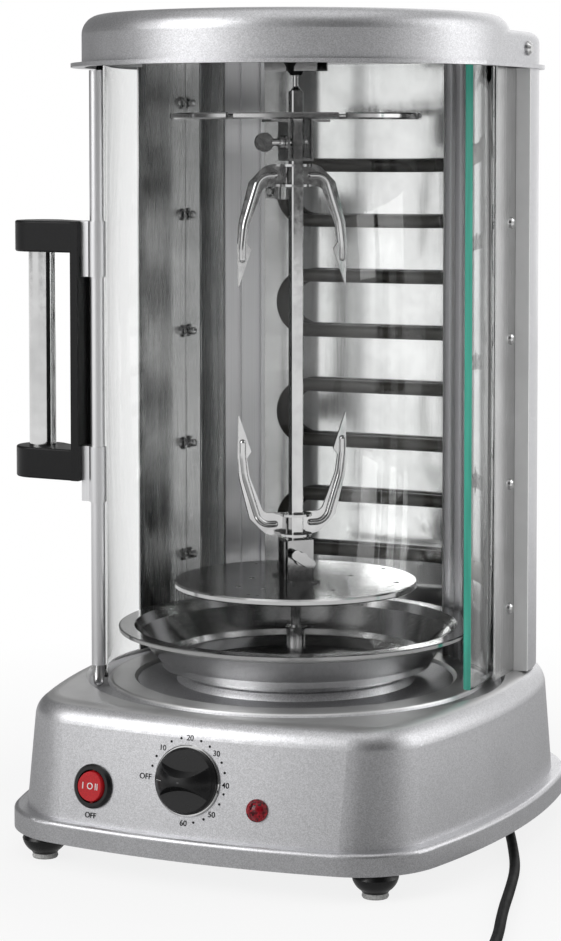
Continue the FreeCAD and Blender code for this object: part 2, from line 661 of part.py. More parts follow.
def build_fork(label, middle, up):
    """A pressed fork: a flat plate behind the shaft with two bent arms that end in barbed points,
    a half-round rib along each arm, and two round flanges with the shaft's square hole. up is 1 for
    points that stand and -1 for points that hang."""
    middle = value(middle)
    half = value(s.fork_hub_height) / 2
    skin, front = value(s.fork_sheet), value(s.fork_setback)
    spread, tip = value(s.fork_spread), value(s.fork_tip)
    barb, rib_end = value(s.fork_barb), value(s.fork_rib_end)
    side = [(spread * 0.52, -half, 12.0), (spread * 0.86, half * 0.6, 0), (spread + 2.2, 30.0, 30.0),
            (spread + 2.9, 42.0, 0), (spread + 2.4, tip, 0), (spread - 3.0, rib_end, 0),
            (spread - 5.8, barb, 0), (spread - 2.9, barb - 4.0, 0), (spread - 4.4, 31.0, 20.0),
            (spread * 0.58, half, 5.0)]
    corners = side + [(-x, z, radius) for x, z, radius in reversed(side)]
    wire = rounded_loop([(x, middle + up * z, radius) for x, z, radius in corners], front)
    fork = Part.Face(wire).extrude(Vector(0, skin, 0))
    rib_radius = value(s.fork_rib_radius)
    for sign in (-1, 1):
        line = [(spread * 0.36, 0), (spread * 0.66, 0), (spread - 1.6, 30.0), (spread, 44.0),
                (spread, rib_end - rib_radius)]
        points = [Vector(sign * x, front, middle + up * z) for x, z in line]
        fork = fork.fuse(tube(rounded_path(points, [9.0, 30.0, 30.0]), rib_radius))
        for point in (points[0], points[-1]):
            fork = fork.fuse(Part.makeSphere(rib_radius, point))
    hub = value(s.fork_hub_radius)
    for level in (middle - half, middle + half - skin):
        fork = fork.fuse(Part.makeCylinder(hub, skin, Vector(0, 0, level)))
    behind = Part.makeBox(200, 50, 300, Vector(-100, front + skin, middle - 150))
    gap = value(s.shaft_square) + 2 * value(s.fit_gap)
    square = Part.makeBox(gap, gap, 4 * half, Vector(-gap / 2, -gap / 2, middle - 2 * half))
    plain(label, fork.cut(behind).cut(square).removeSplitter(), turn=s.spit_angle)


build_fork("lower_fork", s.lower_hub_z + s.fork_hub_height / 2, 1)
build_fork("upper_fork", s.upper_hub_top - s.fork_hub_height / 2, -1)

# ---------------------------------------------------------------- clamp screws

def screw_stem(level, knob_reach):
    """The part that both clamp screws share: a stem along -Y with its point on the shaft's flat."""
    start = value(s.shaft_square) / 2 + value(s.point_gap)
    outward = Vector(0, -1, 0)
    stem = Part.makeCylinder(value(s.screw_radius), knob_reach - start, Vector(0, -start, level),
                             outward)
    face = value(s.bracket_depth) / 2 + value(s.fit_gap)
    collar = Part.makeCylinder(4.2, 2.4, Vector(0, -face, level), outward)
    return stem.fuse(collar)


def build_wing_screw():
    """A wing screw through the lower bracket's front leaf."""
    level = value(lower_foot_z + s.screw_level)
    face = value(s.bracket_depth) / 2
    wing = Part.makeBox(17, 2.2, 6.0, Vector(-8.5, -face - 5.6, level - 3.0))
    wing = wing.makeFillet(2.4, [edge for edge in wing.Edges
                                 if abs(edge.BoundBox.YLength - 2.2) < 1e-3])
    wing.rotate(Vector(0, 0, level), Vector(0, -1, 0), -33)
    screw = screw_stem(level, face + 4.6).fuse(wing)
    plain("lower_wing_screw", screw.removeSplitter(), turn=s.spit_angle)


def build_thumb_screw():
    """A thumb screw with a flat round paddle through the upper bracket's left leaf."""
    level = value(s.disc_z - s.screw_level)
    face = value(s.bracket_depth) / 2
    paddle = Part.makeCylinder(6.0, 2.4, Vector(-1.2, -face - 12.5, level), Vector(1, 0, 0))
    screw = screw_stem(level, face + 8.0).fuse(paddle)
    plain("upper_thumb_screw", screw.removeSplitter(), turn=s.spit_angle - 90)


build_wing_screw()
build_thumb_screw()
for label in ("spit_shaft", "lower_plate", "upper_disc", "lower_bracket"):
    pieces[label].Placement.Rotation = FreeCAD.Rotation(UP, value(s.spit_angle))
pieces["upper_bracket"].Placement.Rotation = FreeCAD.Rotation(UP, value(s.spit_angle) + 90)

# ---------------------------------------------------------------- controls

def facing(shape, x, z):
    """Stands a shape made on the XY plane, its Y up the panel, on the front face at x, z."""
    point, normal = front_face_frame(x, z)
    side = UP.cross(normal).normalize()
    up = normal.cross(side).normalize()
    matrix = FreeCAD.Matrix(side.x, up.x, normal.x, point.x, side.y, up.y, normal.y, point.y,
                            side.z, up.z, normal.z, point.z, 0, 0, 0, 1)
    return shape.transformed(matrix)


def build_controls():
    radius, height = value(s.knob_radius), value(s.knob_height)
    knob = revolved([(0, 1.2), (radius, 1.2), (radius, 2.6), (radius - 1.5, 4.2),
                  (radius - 1.5, height + 1), (0, height + 1)])
    dome = radius * 1.2
    knob = knob.common(Part.makeSphere(dome, Vector(0, 0, height - dome)))
    floor = 4.2
    for side in (-1, 1):
        knob = knob.cut(Part.makeCone(30.0, 33.95, 10.8, Vector(0, side * 35.6, floor)))
    stem = Part.makeCylinder(3.0, 16.2, Vector(0, 0, -15.0))
    plain("timer_knob", facing(knob.fuse(stem).removeSplitter(), s.knob_x, s.knob_z))
    dial = revolved([(3.6, 0.1), (radius + 1.4, 0.1), (radius + 1.4, 0.5), (radius + 0.8, 0.9),
                  (3.6, 0.9)])
    plain("dial_ring", facing(dial, s.knob_x, s.knob_z))
    works = Part.makeBox(42, 38, 22, Vector(-21, -19, -30.0))
    bush = Part.makeCylinder(4.2, 8.0, Vector(0, 0, -8.2))
    bore = Part.makeCylinder(3.08, 40.0, Vector(0, 0, -16.0))
    plain("timer_works", facing(works.fuse(bush).cut(bore).removeSplitter(), s.knob_x, s.knob_z))

    bezel_r = value(s.rocker_radius)
    bezel = revolved([(bezel_r - 3.2, -12.0), (bezel_r - 2.4, -12.0), (bezel_r - 2.4, 0.1),
                   (bezel_r, 0.1), (bezel_r, 1.2), (bezel_r - 1.4, 2.6), (bezel_r - 3.2, 2.6)])
    pin_r, pin_end = 1.2, bezel_r - 2.9
    hole = Part.makeCylinder(pin_r + 0.15, 2 * bezel_r, Vector(0, -bezel_r, 0), Vector(0, 1, 0))
    core = Part.makeCylinder(bezel_r - 2.8, 10.0, Vector(0, 0, -6.0))
    bezel = bezel.cut(hole.common(core))
    plain("rocker_bezel", facing(bezel, s.rocker_x, s.rocker_z))
    cap_r = bezel_r - 3.2 - value(s.run_gap)
    cap = Part.makeSphere(cap_r, Vector(0, 0, 0))
    scoop = Part.makeCylinder(34, 40, Vector(0, -20, 34 + 3.4), Vector(0, 1, 0))
    top = Part.makeBox(40, 40, 20, Vector(-20, -20, 5.4))
    floor = Part.makeBox(40, 40, 20, Vector(-20, -20, -23.5))
    cap = cap.cut(floor).cut(top).cut(scoop)
    cap = cap.fuse(Part.makeCylinder(pin_r, 2 * pin_end, Vector(0, -pin_end, 0), Vector(0, 1, 0)))
    plain("rocker_cap", facing(cap.removeSplitter(), s.rocker_x, s.rocker_z))
    switch = revolved([(0, -26.0), (bezel_r - 3.4, -26.0), (bezel_r - 3.4, -12.0), (0, -12.0)])
    plain("switch_body", facing(switch, s.rocker_x, s.rocker_z))

    lamp_r = value(s.lamp_radius)
    lens = revolved([(0, -8.0), (lamp_r - 1.5, -8.0), (lamp_r - 1.5, 0.1), (lamp_r, 0.1),
                  (lamp_r, 0.9), (lamp_r - 0.3, 1.2), (0, 1.2)])
    rise, spread = 3.3, lamp_r - 0.8
    ball = (spread ** 2 + rise ** 2) / (2 * rise)
    dome = Part.makeSphere(ball, Vector(0, 0, 1.2 + rise - ball))
    lens = lens.fuse(dome.common(Part.makeCylinder(lamp_r, 8.0, Vector(0, 0, 1.0))))
    plain("lamp_lens", facing(lens.removeSplitter(), s.lamp_x, s.lamp_z))
    neon = Part.makeCylinder(lamp_r - 2.0, 14.0, Vector(0, 0, -22.2))
    plain("lamp_body", facing(neon, s.lamp_x, s.lamp_z))


build_controls()

# ---------------------------------------------------------------- rear chamber

def extruded(label, corners, bottom, height):
    """A piece of one plan outline."""
    made = body(label, z=bottom)
    plan = sketch_on(made, "XY_Plane")
    outline(plan, corners)
    feature(made, "Pad", plan, Length=height)
    return made


def build_shell():
    half, rear, corner = s.shell_half_width, s.shell_rear, s.shell_corner
    skin, front = s.shell_sheet, s.shell_front
    inner = s.wall_inside + s.wall_sheet + 0.1
    low_corner = corner - skin
    extruded("rear_shell", [
        (inner, front), (half, front), (half, rear - corner), (half - corner, rear, corner, 1),
        (corner - half, rear), (-half, rear - corner, corner, 1), (-half, front), (-inner, front),
        (-inner, front + skin), (skin - half, front + skin), (skin - half, rear - corner),
        (corner - half, rear - skin, low_corner, -1), (half - corner, rear - skin),
        (half - skin, rear - corner, low_corner, -1), (half - skin, front + skin),
        (inner, front + skin)], s.base_top, s.lid_bottom - s.base_top)


def build_walls():
    inside, skin = s.wall_inside, s.wall_sheet
    for label, side in (("inner_wall_left", -1), ("inner_wall_right", 1)):
        extruded(label, [
            (inside * side, s.wall_front), ((inside + skin) * side, s.wall_front),
            ((inside + skin) * side, s.wall_rear),
            ((s.reflector_half + skin) * side, s.reflector_y - 0.1),
            ((s.reflector_half - 0.4) * side, s.reflector_y - 0.1),
            (inside * side, s.wall_rear)], s.base_top, s.ceiling_z - s.base_top)
    half = s.reflector_half + 3.0
    extruded("reflector", box_outline(-half, s.reflector_y, half, s.reflector_y + skin),
             s.base_top, s.ceiling_z - s.base_top)


def build_pillars():
    wide, deep = s.pillar_width / 2, s.pillar_depth / 2
    lip = 2.4
    for label, side in (("pillar_left", -1), ("pillar_right", 1)):
        angle = 180.0 - value(s.pillar_angle) * side
        made = body(label, z=s.base_top - s.deck_drop)
        plan = sketch_on(made, "XY_Plane")
        outline(plan, [
            (-wide, -deep), (wide, -deep), (wide, deep), (wide - lip, deep), (wide - lip, -deep + 2.0),
            (2.2, -deep + 2.0), (2.2, deep), (-2.2, deep), (-2.2, -deep + 2.0),
            (lip - wide, -deep + 2.0), (lip - wide, deep), (-wide, deep)])
        feature(made, "Pad", plan, Length=s.ceiling_z - s.base_top + s.deck_drop)
        spot = ring_point(s.pillar_ring, angle)
        made.Placement = FreeCAD.Placement(Vector(0, 0, 0), FreeCAD.Rotation(UP, angle))
        turn = "((180 - Sizes.pillar_angle * %d) * 1 deg)" % side
        ring = s.pillar_ring.text
        bind(made, "Placement.Base.x",
             Size(value(s.axis_x) + spot.x, "Sizes.axis_x + %s * sin%s" % (ring, turn)))
        bind(made, "Placement.Base.y",
             Size(value(s.axis_y) + spot.y, "Sizes.axis_y - %s * cos%s" % (ring, turn)))


def build_heater():
    """One tubular element in eight level runs bent back and forth, clamps that hold its bends off
    the reflector, and the ceramic ends that its two tails go into."""
    half, pitch, y = value(s.heater_half), value(s.heater_pitch), value(s.heater_y)
    low, radius, back = value(s.heater_bottom), value(s.heater_radius), value(s.reflector_y)
    runs = 8
    tail = half + 8.0
    points = []
    for turn in range(runs):
        ends = [-half, half] if turn % 2 else [half, -half]
        points += [Vector(x, y, low + turn * pitch) for x in ends]
    points[0].x = points[-1].x = tail
    plain("heater_element", tube(rounded_path(points, [pitch / 2 - 0.01] * (2 * runs - 2)), radius))
    straps = []
    for side, turn in ((-1, 6.5), (1, 1.5), (1, 3.5), (1, 5.5)):
        end = Vector(side * half, y, low + turn * pitch)
        bend = Part.makeTorus(pitch / 2 - 0.01, radius + 0.05, end - Vector(side * pitch / 2, 0, 0),
                              Vector(0, 1, 0))
        wrap = Part.makeCylinder(radius + 1.4, 9.0, end - Vector(0, 0, 4.5))
        stand = Part.makeBox(5.0, back - y, 9.0, end - Vector(2.5, 0, 4.5))
        wing = Part.makeBox(16.0, 1.5, 9.0, Vector(-8.0 + side * 8.0, -1.5, -4.5))
        wing.translate(Vector(end.x, back, end.z))
        head = bead(Vector(end.x + side * 12.0, back - 1.5, end.z), Vector(0, -1, 0), 3.4, 2.4)
        straps.append(wrap.fuse(stand).fuse(wing).fuse(head).cut(bend))
    plain("heater_straps", Part.makeCompound(straps))
    ends = []
    for z in (low, low + (runs - 1) * pitch):
        cap = Part.makeCylinder(radius + 2.0, 9.0, Vector(tail, y, z), Vector(1, 0, 0))
        ends.append(cap.fuse(Part.makeBox(7, back - y, 6, Vector(tail + 1, y, z - 3))))
    plain("heater_terminals", Part.makeCompound(ends))


build_shell()
build_walls()
build_pillars()
build_heater()

# ---------------------------------------------------------------- door

def sector(inner, outer, bottom, top, start, stop):
    """A curved wall about the spit between two angles counted from the front, towards +X."""
    middle = (start + stop) / 2
    edges = [Part.Arc(ring_point(outer, start), ring_point(outer, middle),
                      ring_point(outer, stop)).toShape(),
             Part.LineSegment(ring_point(outer, stop), ring_point(inner, stop)).toShape(),
             Part.Arc(ring_point(inner, stop), ring_point(inner, middle),
                      ring_point(inner, start)).toShape(),
             Part.LineSegment(ring_point(inner, start), ring_point(outer, start)).toShape()]
    wall = Part.Face(Part.Wire(edges)).extrude(Vector(0, 0, top - bottom))
    wall.translate(Vector(0, 0, bottom))
    return wall


def build_door():
    inner, outer = value(s.glass_inner), value(s.glass_inner + s.glass_thickness)
    angle, sweep = value(s.stile_angle), value(s.glass_sweep)
    ring_r, radius = value(s.stile_ring), value(s.stile_radius)
    low, high = value(s.glass_bottom), value(s.glass_top)
    plain("door_glass", sector(inner, outer, low, high, angle - 0.6, angle - sweep))
    gap = value(s.fit_gap)
    foot, head = value(s.stile_bottom), value(s.stile_top)
    axis = ring_point(ring_r, angle)
    rod = Part.makeCylinder(radius, head - foot, axis + Vector(0, 0, foot))
    slot = sector(inner - gap, outer + gap, foot - 1, head + 1, angle - 0.45, angle - 20)
    plain("door_stile", rod.cut(slot))
    ball_z = value(s.base_top - s.groove_depth) + 3.4
    ball = Part.makeSphere(3.2, axis + Vector(0, 0, ball_z))
    neck = Part.makeCone(3.4, 3.9, foot - ball_z, axis + Vector(0, 0, ball_z))
    keep = sector(inner - gap, outer + gap, low - 0.3, high, angle - 0.45, angle - 20)
    plain("stile_foot", ball.fuse(neck).cut(keep).removeSplitter())


build_door()


def local_to_door(x, y, z=0.0):
    """A point given from the stile's centre: x outward to the machine's left, y to its rear."""
    axis = ring_point(s.stile_ring, s.stile_angle)
    return axis + Vector(-value(x), value(y), value(z))


def build_handle():
    reach, thick = value(s.strip_reach), value(s.strip_thickness)
    half = value(s.strip_width) / 2
    low, high = value(s.handle_bottom), value(s.handle_top)
    tall = value(s.arm_height)
    shift = value(s.strip_width) * 0.18
    back = Part.makeBox(thick, 2 * half, high - low, local_to_door(reach + thick, shift - half, low))
    slot = Part.makeBox(2.0, 2 * half - 5, high - low - 2 * tall - 4,
                        local_to_door(reach + 2.0, shift - half + 2.5, low + tall + 2))
    strip = back.cut(slot)
    plain("handle_strip", strip)
    grip_x, grip_y = value(s.grip_reach), value(s.grip_offset)
    end = value(s.arm_end_radius)
    centre = Vector(-grip_x, grip_y, 0)
    root_front = Vector(-reach - thick, shift - half, 0)
    root_back = Vector(-reach - thick, shift + half, 0)

    def touch(point, sign):
        """Where a line from a point just touches the arm's round end."""
        gap = point - centre
        lean = math.acos(end / gap.Length)
        turn = math.atan2(gap.y, gap.x) + sign * lean
        return centre + Vector(math.cos(turn), math.sin(turn), 0) * end

    front, rear = touch(root_front, -1), touch(root_back, 1)
    tip = centre + Vector(-1, 0, 0) * end
    plan = Part.Wire([Part.LineSegment(root_back, root_front).toShape(),
                      Part.LineSegment(root_front, front).toShape(),
                      Part.Arc(front, tip, rear).toShape(),
                      Part.LineSegment(rear, root_back).toShape()])
    axis = ring_point(s.stile_ring, s.stile_angle)
    arms = []
    for label, bottom in (("handle_arm_lower", low), ("handle_arm_upper", high - tall)):
        arm = Part.Face(plan).extrude(Vector(0, 0, tall))
        arm.translate(axis + Vector(0, 0, bottom))
        corners = [edge for edge in arm.Edges if edge.BoundBox.ZLength < 1e-3
                   and abs(edge.BoundBox.XMax - (axis.x - reach - thick)) > 1e-3]
        arm = arm.makeFillet(1.2, corners)
        pocket = Part.makeCylinder(value(s.grip_radius) + 0.05, 5.0, axis + centre
                                   + Vector(0, 0, bottom + tall - 5.0 if bottom == low else bottom))
        plain(label, arm.cut(pocket))
    grip = Part.makeCylinder(value(s.grip_radius), high - low - 2 * tall + 9.8,
                             axis + centre + Vector(0, 0, low + tall - 4.9))
    bore = Part.makeCylinder(value(s.grip_radius) - 1.2, 400, axis + centre)
    plain("handle_grip", grip.cut(bore))
    radius = value(s.stile_radius)
    for label, bottom in (("clip_lower", low - 12.5), ("clip_upper", high - 33.8)):
        sleeve = Part.makeCylinder(radius + 1.0, 34.0, axis + Vector(0, 0, bottom))
        tab = Part.makeBox(reach - 0.1, 3.0, 34.0, axis + Vector(-reach + 0.1, -1.5, bottom))
        bore = Part.makeCylinder(radius + 0.05, 36.0, axis + Vector(0, 0, bottom - 1))
        gap = value(s.fit_gap)
        slit = sector(s.glass_inner - gap, s.glass_inner + s.glass_thickness + gap, bottom - 1,
                      bottom + 36, value(s.stile_angle), value(s.stile_angle) - 20)
        plain(label, sleeve.fuse(tab).cut(bore).cut(slit).removeSplitter())


build_handle()

# ---------------------------------------------------------------- lid

def shell_outline(grow, front_ring):
    """The lid's plan: a half circle at the front, straight sides and round rear corners."""
    half = value(s.shell_half_width) + grow
    rear, corner = value(s.shell_rear) + grow, value(s.shell_corner) + grow
    radius = front_ring
    y = -math.sqrt(max(radius ** 2 - half ** 2, 0.0))
    start, stop = Vector(-half, y, 0), Vector(half, y, 0)
    edges = [Part.Arc(start, Vector(0, -radius, 0), stop).toShape()]
    centre = Vector(half - corner, rear - corner, 0)
    dip = corner * math.sqrt(0.5)
    edges.append(Part.LineSegment(stop, Vector(half, centre.y, 0)).toShape())
    edges.append(Part.Arc(Vector(half, centre.y, 0), centre + Vector(dip, dip, 0),
                          Vector(centre.x, rear, 0)).toShape())
    if centre.x > 1e-6:
        edges.append(Part.LineSegment(Vector(centre.x, rear, 0), Vector(-centre.x, rear, 0)).toShape())
    edges.append(Part.Arc(Vector(-centre.x, rear, 0), Vector(-centre.x - dip, centre.y + dip, 0),
                          Vector(-half, centre.y, 0)).toShape())
    edges.append(Part.LineSegment(Vector(-half, centre.y, 0), start).toShape())
    return Part.Wire(edges)


def slab(wire, bottom, top):
    solid = Part.Face(wire).extrude(Vector(0, 0, top - bottom))
    solid.translate(Vector(0, 0, bottom))
    return solid


def build_lid():
    radius, lip = value(s.lid_radius), value(s.lid_lip)
    bottom, top, skin = value(s.lid_bottom), value(s.lid_top), value(s.lid_wall)
    edge, crown = value(s.lid_edge), value(s.lid_crown)
    rear_top = value(s.lid_rear_top)

    def dome(shrink):
        r, t = radius - shrink, top - shrink
        flat = Part.makeCylinder(r, t - crown - bottom, Vector(0, 0, bottom))
        rim = [item for item in flat.Edges if abs(item.BoundBox.ZMin - (t - crown)) < 1e-3
               and abs(item.BoundBox.ZMax - (t - crown)) < 1e-3]
        cap = flat.makeFillet(edge - shrink, rim)
        ball_r = ((radius - edge) ** 2 + crown ** 2) / (2 * crown)
        ball = Part.makeSphere(ball_r, Vector(0, 0, t - ball_r))
        column = Part.makeCylinder(r - (edge - shrink), crown + 4, Vector(0, 0, t - crown - 1))
        return cap.fuse(ball.common(column))

    def tail(shrink):
        wire = shell_outline(-shrink, radius - shrink)
        block = slab(wire, bottom, rear_top - shrink)
        rim = [item for item in block.Edges
               if abs(item.BoundBox.ZMin - (rear_top - shrink)) < 1e-3
               and abs(item.BoundBox.ZMax - (rear_top - shrink)) < 1e-3]
        return block.makeFillet(value(s.lid_rear_edge) - shrink, rim)

    outer = dome(0).fuse(tail(0))
    inner = dome(skin).fuse(tail(skin))
    inner.translate(Vector(0, 0, -0.001))
    room = slab(shell_outline(-skin, radius - skin), bottom - 1, bottom + 1)
    flange = slab(shell_outline(3.5, radius + lip), bottom, bottom + 2.4)
    lid = outer.fuse(flange).cut(inner).cut(room)
    plain("lid", lid.removeSplitter())
    gap = value(s.fit_gap)
    ceiling = slab(shell_outline(-skin - gap, radius - skin - gap), value(s.ceiling_z) + 0.1,
                   value(s.ceiling_z) + 1.1)
    plain("ceiling_plate", ceiling)


build_lid()

# ---------------------------------------------------------------- top bearing

def build_bearing():
    """A folded bracket under the ceiling, two leaves with funnel-shaped notches, and the funnel bush
    between them that takes the spit's pin."""
    ceiling, low = value(s.ceiling_z), value(s.bearing_z)
    half, deep, skin = value(s.bearing_half), value(s.bearing_depth) / 2, value(s.bracket_sheet)
    block = Part.makeBox(2 * half, 2 * deep, ceiling - low, Vector(-half, -deep, low))
    inside = Part.makeBox(2 * half + 2, 2 * (deep - skin), ceiling - skin - low + 1,
                          Vector(-half - 1, skin - deep, low - 1))
    notch = rounded_loop([(-2.6, low - 1, 0), (-2.6, low + 2.5, 0), (-5.4, low + 6.5, 2.5),
                          (-5.4, ceiling - 3.0, 1.0), (5.4, ceiling - 3.0, 1.0), (5.4, low + 6.5, 2.5),
                          (2.6, low + 2.5, 0), (2.6, low - 1, 0)], -deep - 1)
    block = block.cut(inside).cut(Part.Face(notch).extrude(Vector(0, 2 * deep + 2, 0)))
    plain("bearing_bracket", block.removeSplitter())
    bore = value(s.pin_radius) + value(s.fit_gap)
    wide = deep - skin - 0.1
    plain("bearing_bush", revolved([
        (bore + 1.0, low - 2.5), (bore + 1.6, low - 2.5), (wide, low + 5.0), (wide, ceiling - skin),
        (bore, ceiling - skin), (bore, low - 1.5)]))


build_bearing()

# ---------------------------------------------------------------- upper track and small fittings

def build_track():
    """A channel under the ceiling, round the front, that the glass's top edge turns in."""
    gap, wall = value(s.run_gap), value(s.track_wall)
    inner = value(s.glass_inner) - gap
    outer = value(s.glass_inner + s.glass_thickness) + gap
    top, half = value(s.ceiling_z), value(s.track_half_angle)
    low, roof = value(s.glass_top) - 3.0, value(s.glass_top) + gap
    channel = sector(inner - wall, outer + wall, low, top, half, -half)
    channel = channel.cut(sector(inner, outer, low - 1, roof, half + 1, -half - 1))
    plain("upper_track", channel)


def build_screws():
    """Pan-head screws: inside the side walls, outside them below the shell's flange, in the tray
    seat and in the lid's sides, and those that hold the bottom plate."""
    wall, outside = value(s.wall_inside), value(s.wall_inside + s.wall_sheet)
    low, tall = value(s.base_top), value(s.lid_bottom - s.base_top)
    heads = [bead(Vector(side * wall, value(s.wall_rear) - 5.0, low + part * tall),
                  Vector(-side, 0, 0), 4.2, 2.2)
             for side in (-1, 1) for part in (0.144, 0.343, 0.542, 0.748, 0.944)]
    heads += [bead(Vector(side * outside, value(s.shell_front) - 7.0, low + part * tall),
                   Vector(side, 0, 0), 3.6, 2.0)
              for side in (-1, 1) for part in (0.107, 0.314, 0.555, 0.746)]
    seat = value(s.base_top - s.deck_drop - s.well_depth)
    heads += [bead(ring_point(s.seat_radius - s.seat_width - 5.0, angle, seat), UP, 3.4, 2.2)
              for angle in (-24, 48, 120, 192, 264)]
    heads += [bead(Vector(side * value(s.shell_half_width), value(s.shell_rear - s.shell_corner) - 8.0,
                          value(s.ceiling_z)), Vector(side, 0, 0), 4.5, 3.0) for side in (-1, 1)]
    plain("casing_screws", Part.makeCompound(heads))
    low = value(s.foot_height)
    spots = [(side * x, y) for side in (-1, 1) for x, y in ((58, -142), (130, -20), (60, 146))]
    heads = [bead(Vector(x, y, low), Vector(0, 0, -1), 4.0, 2.6) for x, y in spots]
    plain("base_screws", Part.makeCompound(heads))


build_track()
build_screws()

# ---------------------------------------------------------------- power cord

CORD_RADIUS = 3.15
GLAND = Vector(98.0, 84.0, 8.6)
EXIT_WAY = Vector(0.506, -0.863, 0)
ROUTE = (
    (114.2, 56.4, 8.6), (123.3, 40.9, 8.2), (134.0, 22.0, 3.6), (149.5, -16.0, 3.2),
    (164.5, -56.0, 3.2), (175.5, -98.0, 3.2), (186.0, -142.0, 3.2), (200.5, -192.0, 3.2),
    (208.0, -240.0, 3.2), (210.5, -271.3, 3.2),
)
COIL_CENTRE = Vector(174.3, -290.5, 0)
COIL_RADIUS = 34.7
COIL_LAYERS = 2


def build_cord():
    points = [Vector(*point) for point in ROUTE]
    radii = []
    for before, corner, after in zip(points, points[1:], points[2:]):
        turn = (corner - before).getAngle(after - corner)
        shorter = min((corner - before).Length, (after - corner).Length)
        radii.append(0.45 * shorter / math.tan(turn / 2))
    print("cord radii", [round(radius) for radius in radii])
    path = rounded_path(points, radii)
    cord = tube(path, CORD_RADIUS)
    print("cord length", round(path.Length, 1), "volume ratio",
          round(cord.Volume / (math.pi * CORD_RADIUS ** 2 * path.Length), 4))
    plain("power_cord", cord)
    wide = 2 * CORD_RADIUS
    block = Part.makeBox(18, 18, value(s.foot_height) - 2.6, Vector(-9, -9, 0))
    block.rotate(Vector(0, 0, 0), UP, math.degrees(math.atan2(EXIT_WAY.y, EXIT_WAY.x)))
    block.translate(Vector(GLAND.x, GLAND.y, 2.6))
    relief = Part.makeCone(5.2, CORD_RADIUS + 0.9, 23.9, GLAND + EXIT_WAY * 8.0, EXIT_WAY)
    plain("cord_gland", block.fuse(relief).removeSplitter())
    coil = Part.makeCylinder(COIL_RADIUS + wide, COIL_LAYERS * wide, COIL_CENTRE)
    coil = coil.cut(Part.makeCylinder(COIL_RADIUS - wide, 50, COIL_CENTRE))
    coil = coil.makeFillet(2.4, [edge for edge in coil.Edges if edge.BoundBox.ZLength < 1e-3])
    plain("cord_coil", coil)
    level = 1.5 * wide
    start = COIL_CENTRE + Vector(-16.0, -COIL_RADIUS - CORD_RADIUS, level)
    way = Vector(-1, 0, 0)
    relief = Part.makeCone(CORD_RADIUS + 0.9, 5.4, 20.0, start, way)
    grip = Part.makeBox(30, 25, 18, start + Vector(-49.9, -12.5, -9.0))
    grip = grip.makeFillet(4.0, [edge for edge in grip.Edges if edge.BoundBox.XLength > 29])
    face = start + Vector(-49.9, 0, 0)
    plug = relief.fuse(grip)
    for y in (-6.35, 6.35):
        plug = plug.fuse(Part.makeBox(18, 1.5, 6.4, face + Vector(-17, y - 0.75, -1.2)))
    earth = Part.makeCylinder(2.4, 20, face + Vector(1, 0, -5.2), way)
    plain("plug", plug.fuse(earth).removeSplitter())


build_cord()

# ---------------------------------------------------------------- check and write

document.recompute()
os.makedirs("parts", exist_ok=True)
faults = [item.Name for item in document.Objects
          if "Invalid" in item.State or "Error" in item.State]
if faults:
    raise RuntimeError("failed objects: " + ", ".join(faults))
for label, piece in sorted(pieces.items()):
    shape = piece.Shape
    if shape.isNull() or not shape.isValid() or not shape.Solids:
        raise RuntimeError("bad shape: " + label)
    shape.exportStep("parts/%s.step" % label)
    print(label, len(shape.Solids), round(shape.Volume))
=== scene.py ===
import math
import bmesh
import bpy
from mathutils import Matrix, Vector


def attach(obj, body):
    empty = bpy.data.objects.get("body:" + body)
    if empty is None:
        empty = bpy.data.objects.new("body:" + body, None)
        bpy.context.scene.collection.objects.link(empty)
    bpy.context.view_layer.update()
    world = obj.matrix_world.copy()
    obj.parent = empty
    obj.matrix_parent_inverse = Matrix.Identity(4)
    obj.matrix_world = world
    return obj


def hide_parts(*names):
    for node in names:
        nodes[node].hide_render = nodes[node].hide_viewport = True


# Looks of the electric skewer grill. Lengths here are millimetres from the foot of the spit's axis
# on the worktop, and at() turns them into the row frame's metres.

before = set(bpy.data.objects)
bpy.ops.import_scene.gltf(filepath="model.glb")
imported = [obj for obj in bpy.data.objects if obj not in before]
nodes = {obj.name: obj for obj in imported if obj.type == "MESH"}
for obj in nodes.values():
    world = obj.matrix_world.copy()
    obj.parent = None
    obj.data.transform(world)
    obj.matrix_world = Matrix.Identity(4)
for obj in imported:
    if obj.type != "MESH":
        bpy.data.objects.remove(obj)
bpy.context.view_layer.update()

MM = 0.001
AXIS = Vector((0.0075, -0.006, 0.0))


def at(x, y, z):
    """A place in the row frame's metres, given in millimetres from the foot of the spit's axis."""
    return AXIS + Vector((x, y, z)) * MM


def ring_at(radius, degrees, z):
    """A point on a circle about the spit, the angle counted from the front towards +X."""
    turn = math.radians(degrees)
    return at(radius * math.sin(turn), -radius * math.cos(turn), z)


# ---------------------------------------------------------------- camera

# Degrees from the front towards +X, millimetres from the spit and above the worktop, and degrees
# downwards. The focal length and the optical centre are in pixels of the photograph.
CAMERA_AZIMUTH = 23.48
CAMERA_DISTANCE = 1649.7
CAMERA_HEIGHT = 433.1
CAMERA_TILT = 3.6
IMAGE_WIDTH, IMAGE_HEIGHT = 561, 941
SENSOR_HEIGHT = 36.0
FOCAL_PIXELS = 2659.9
CENTRE_X, CENTRE_Y = 295.9, 300.0
CLIP_END = 20.0


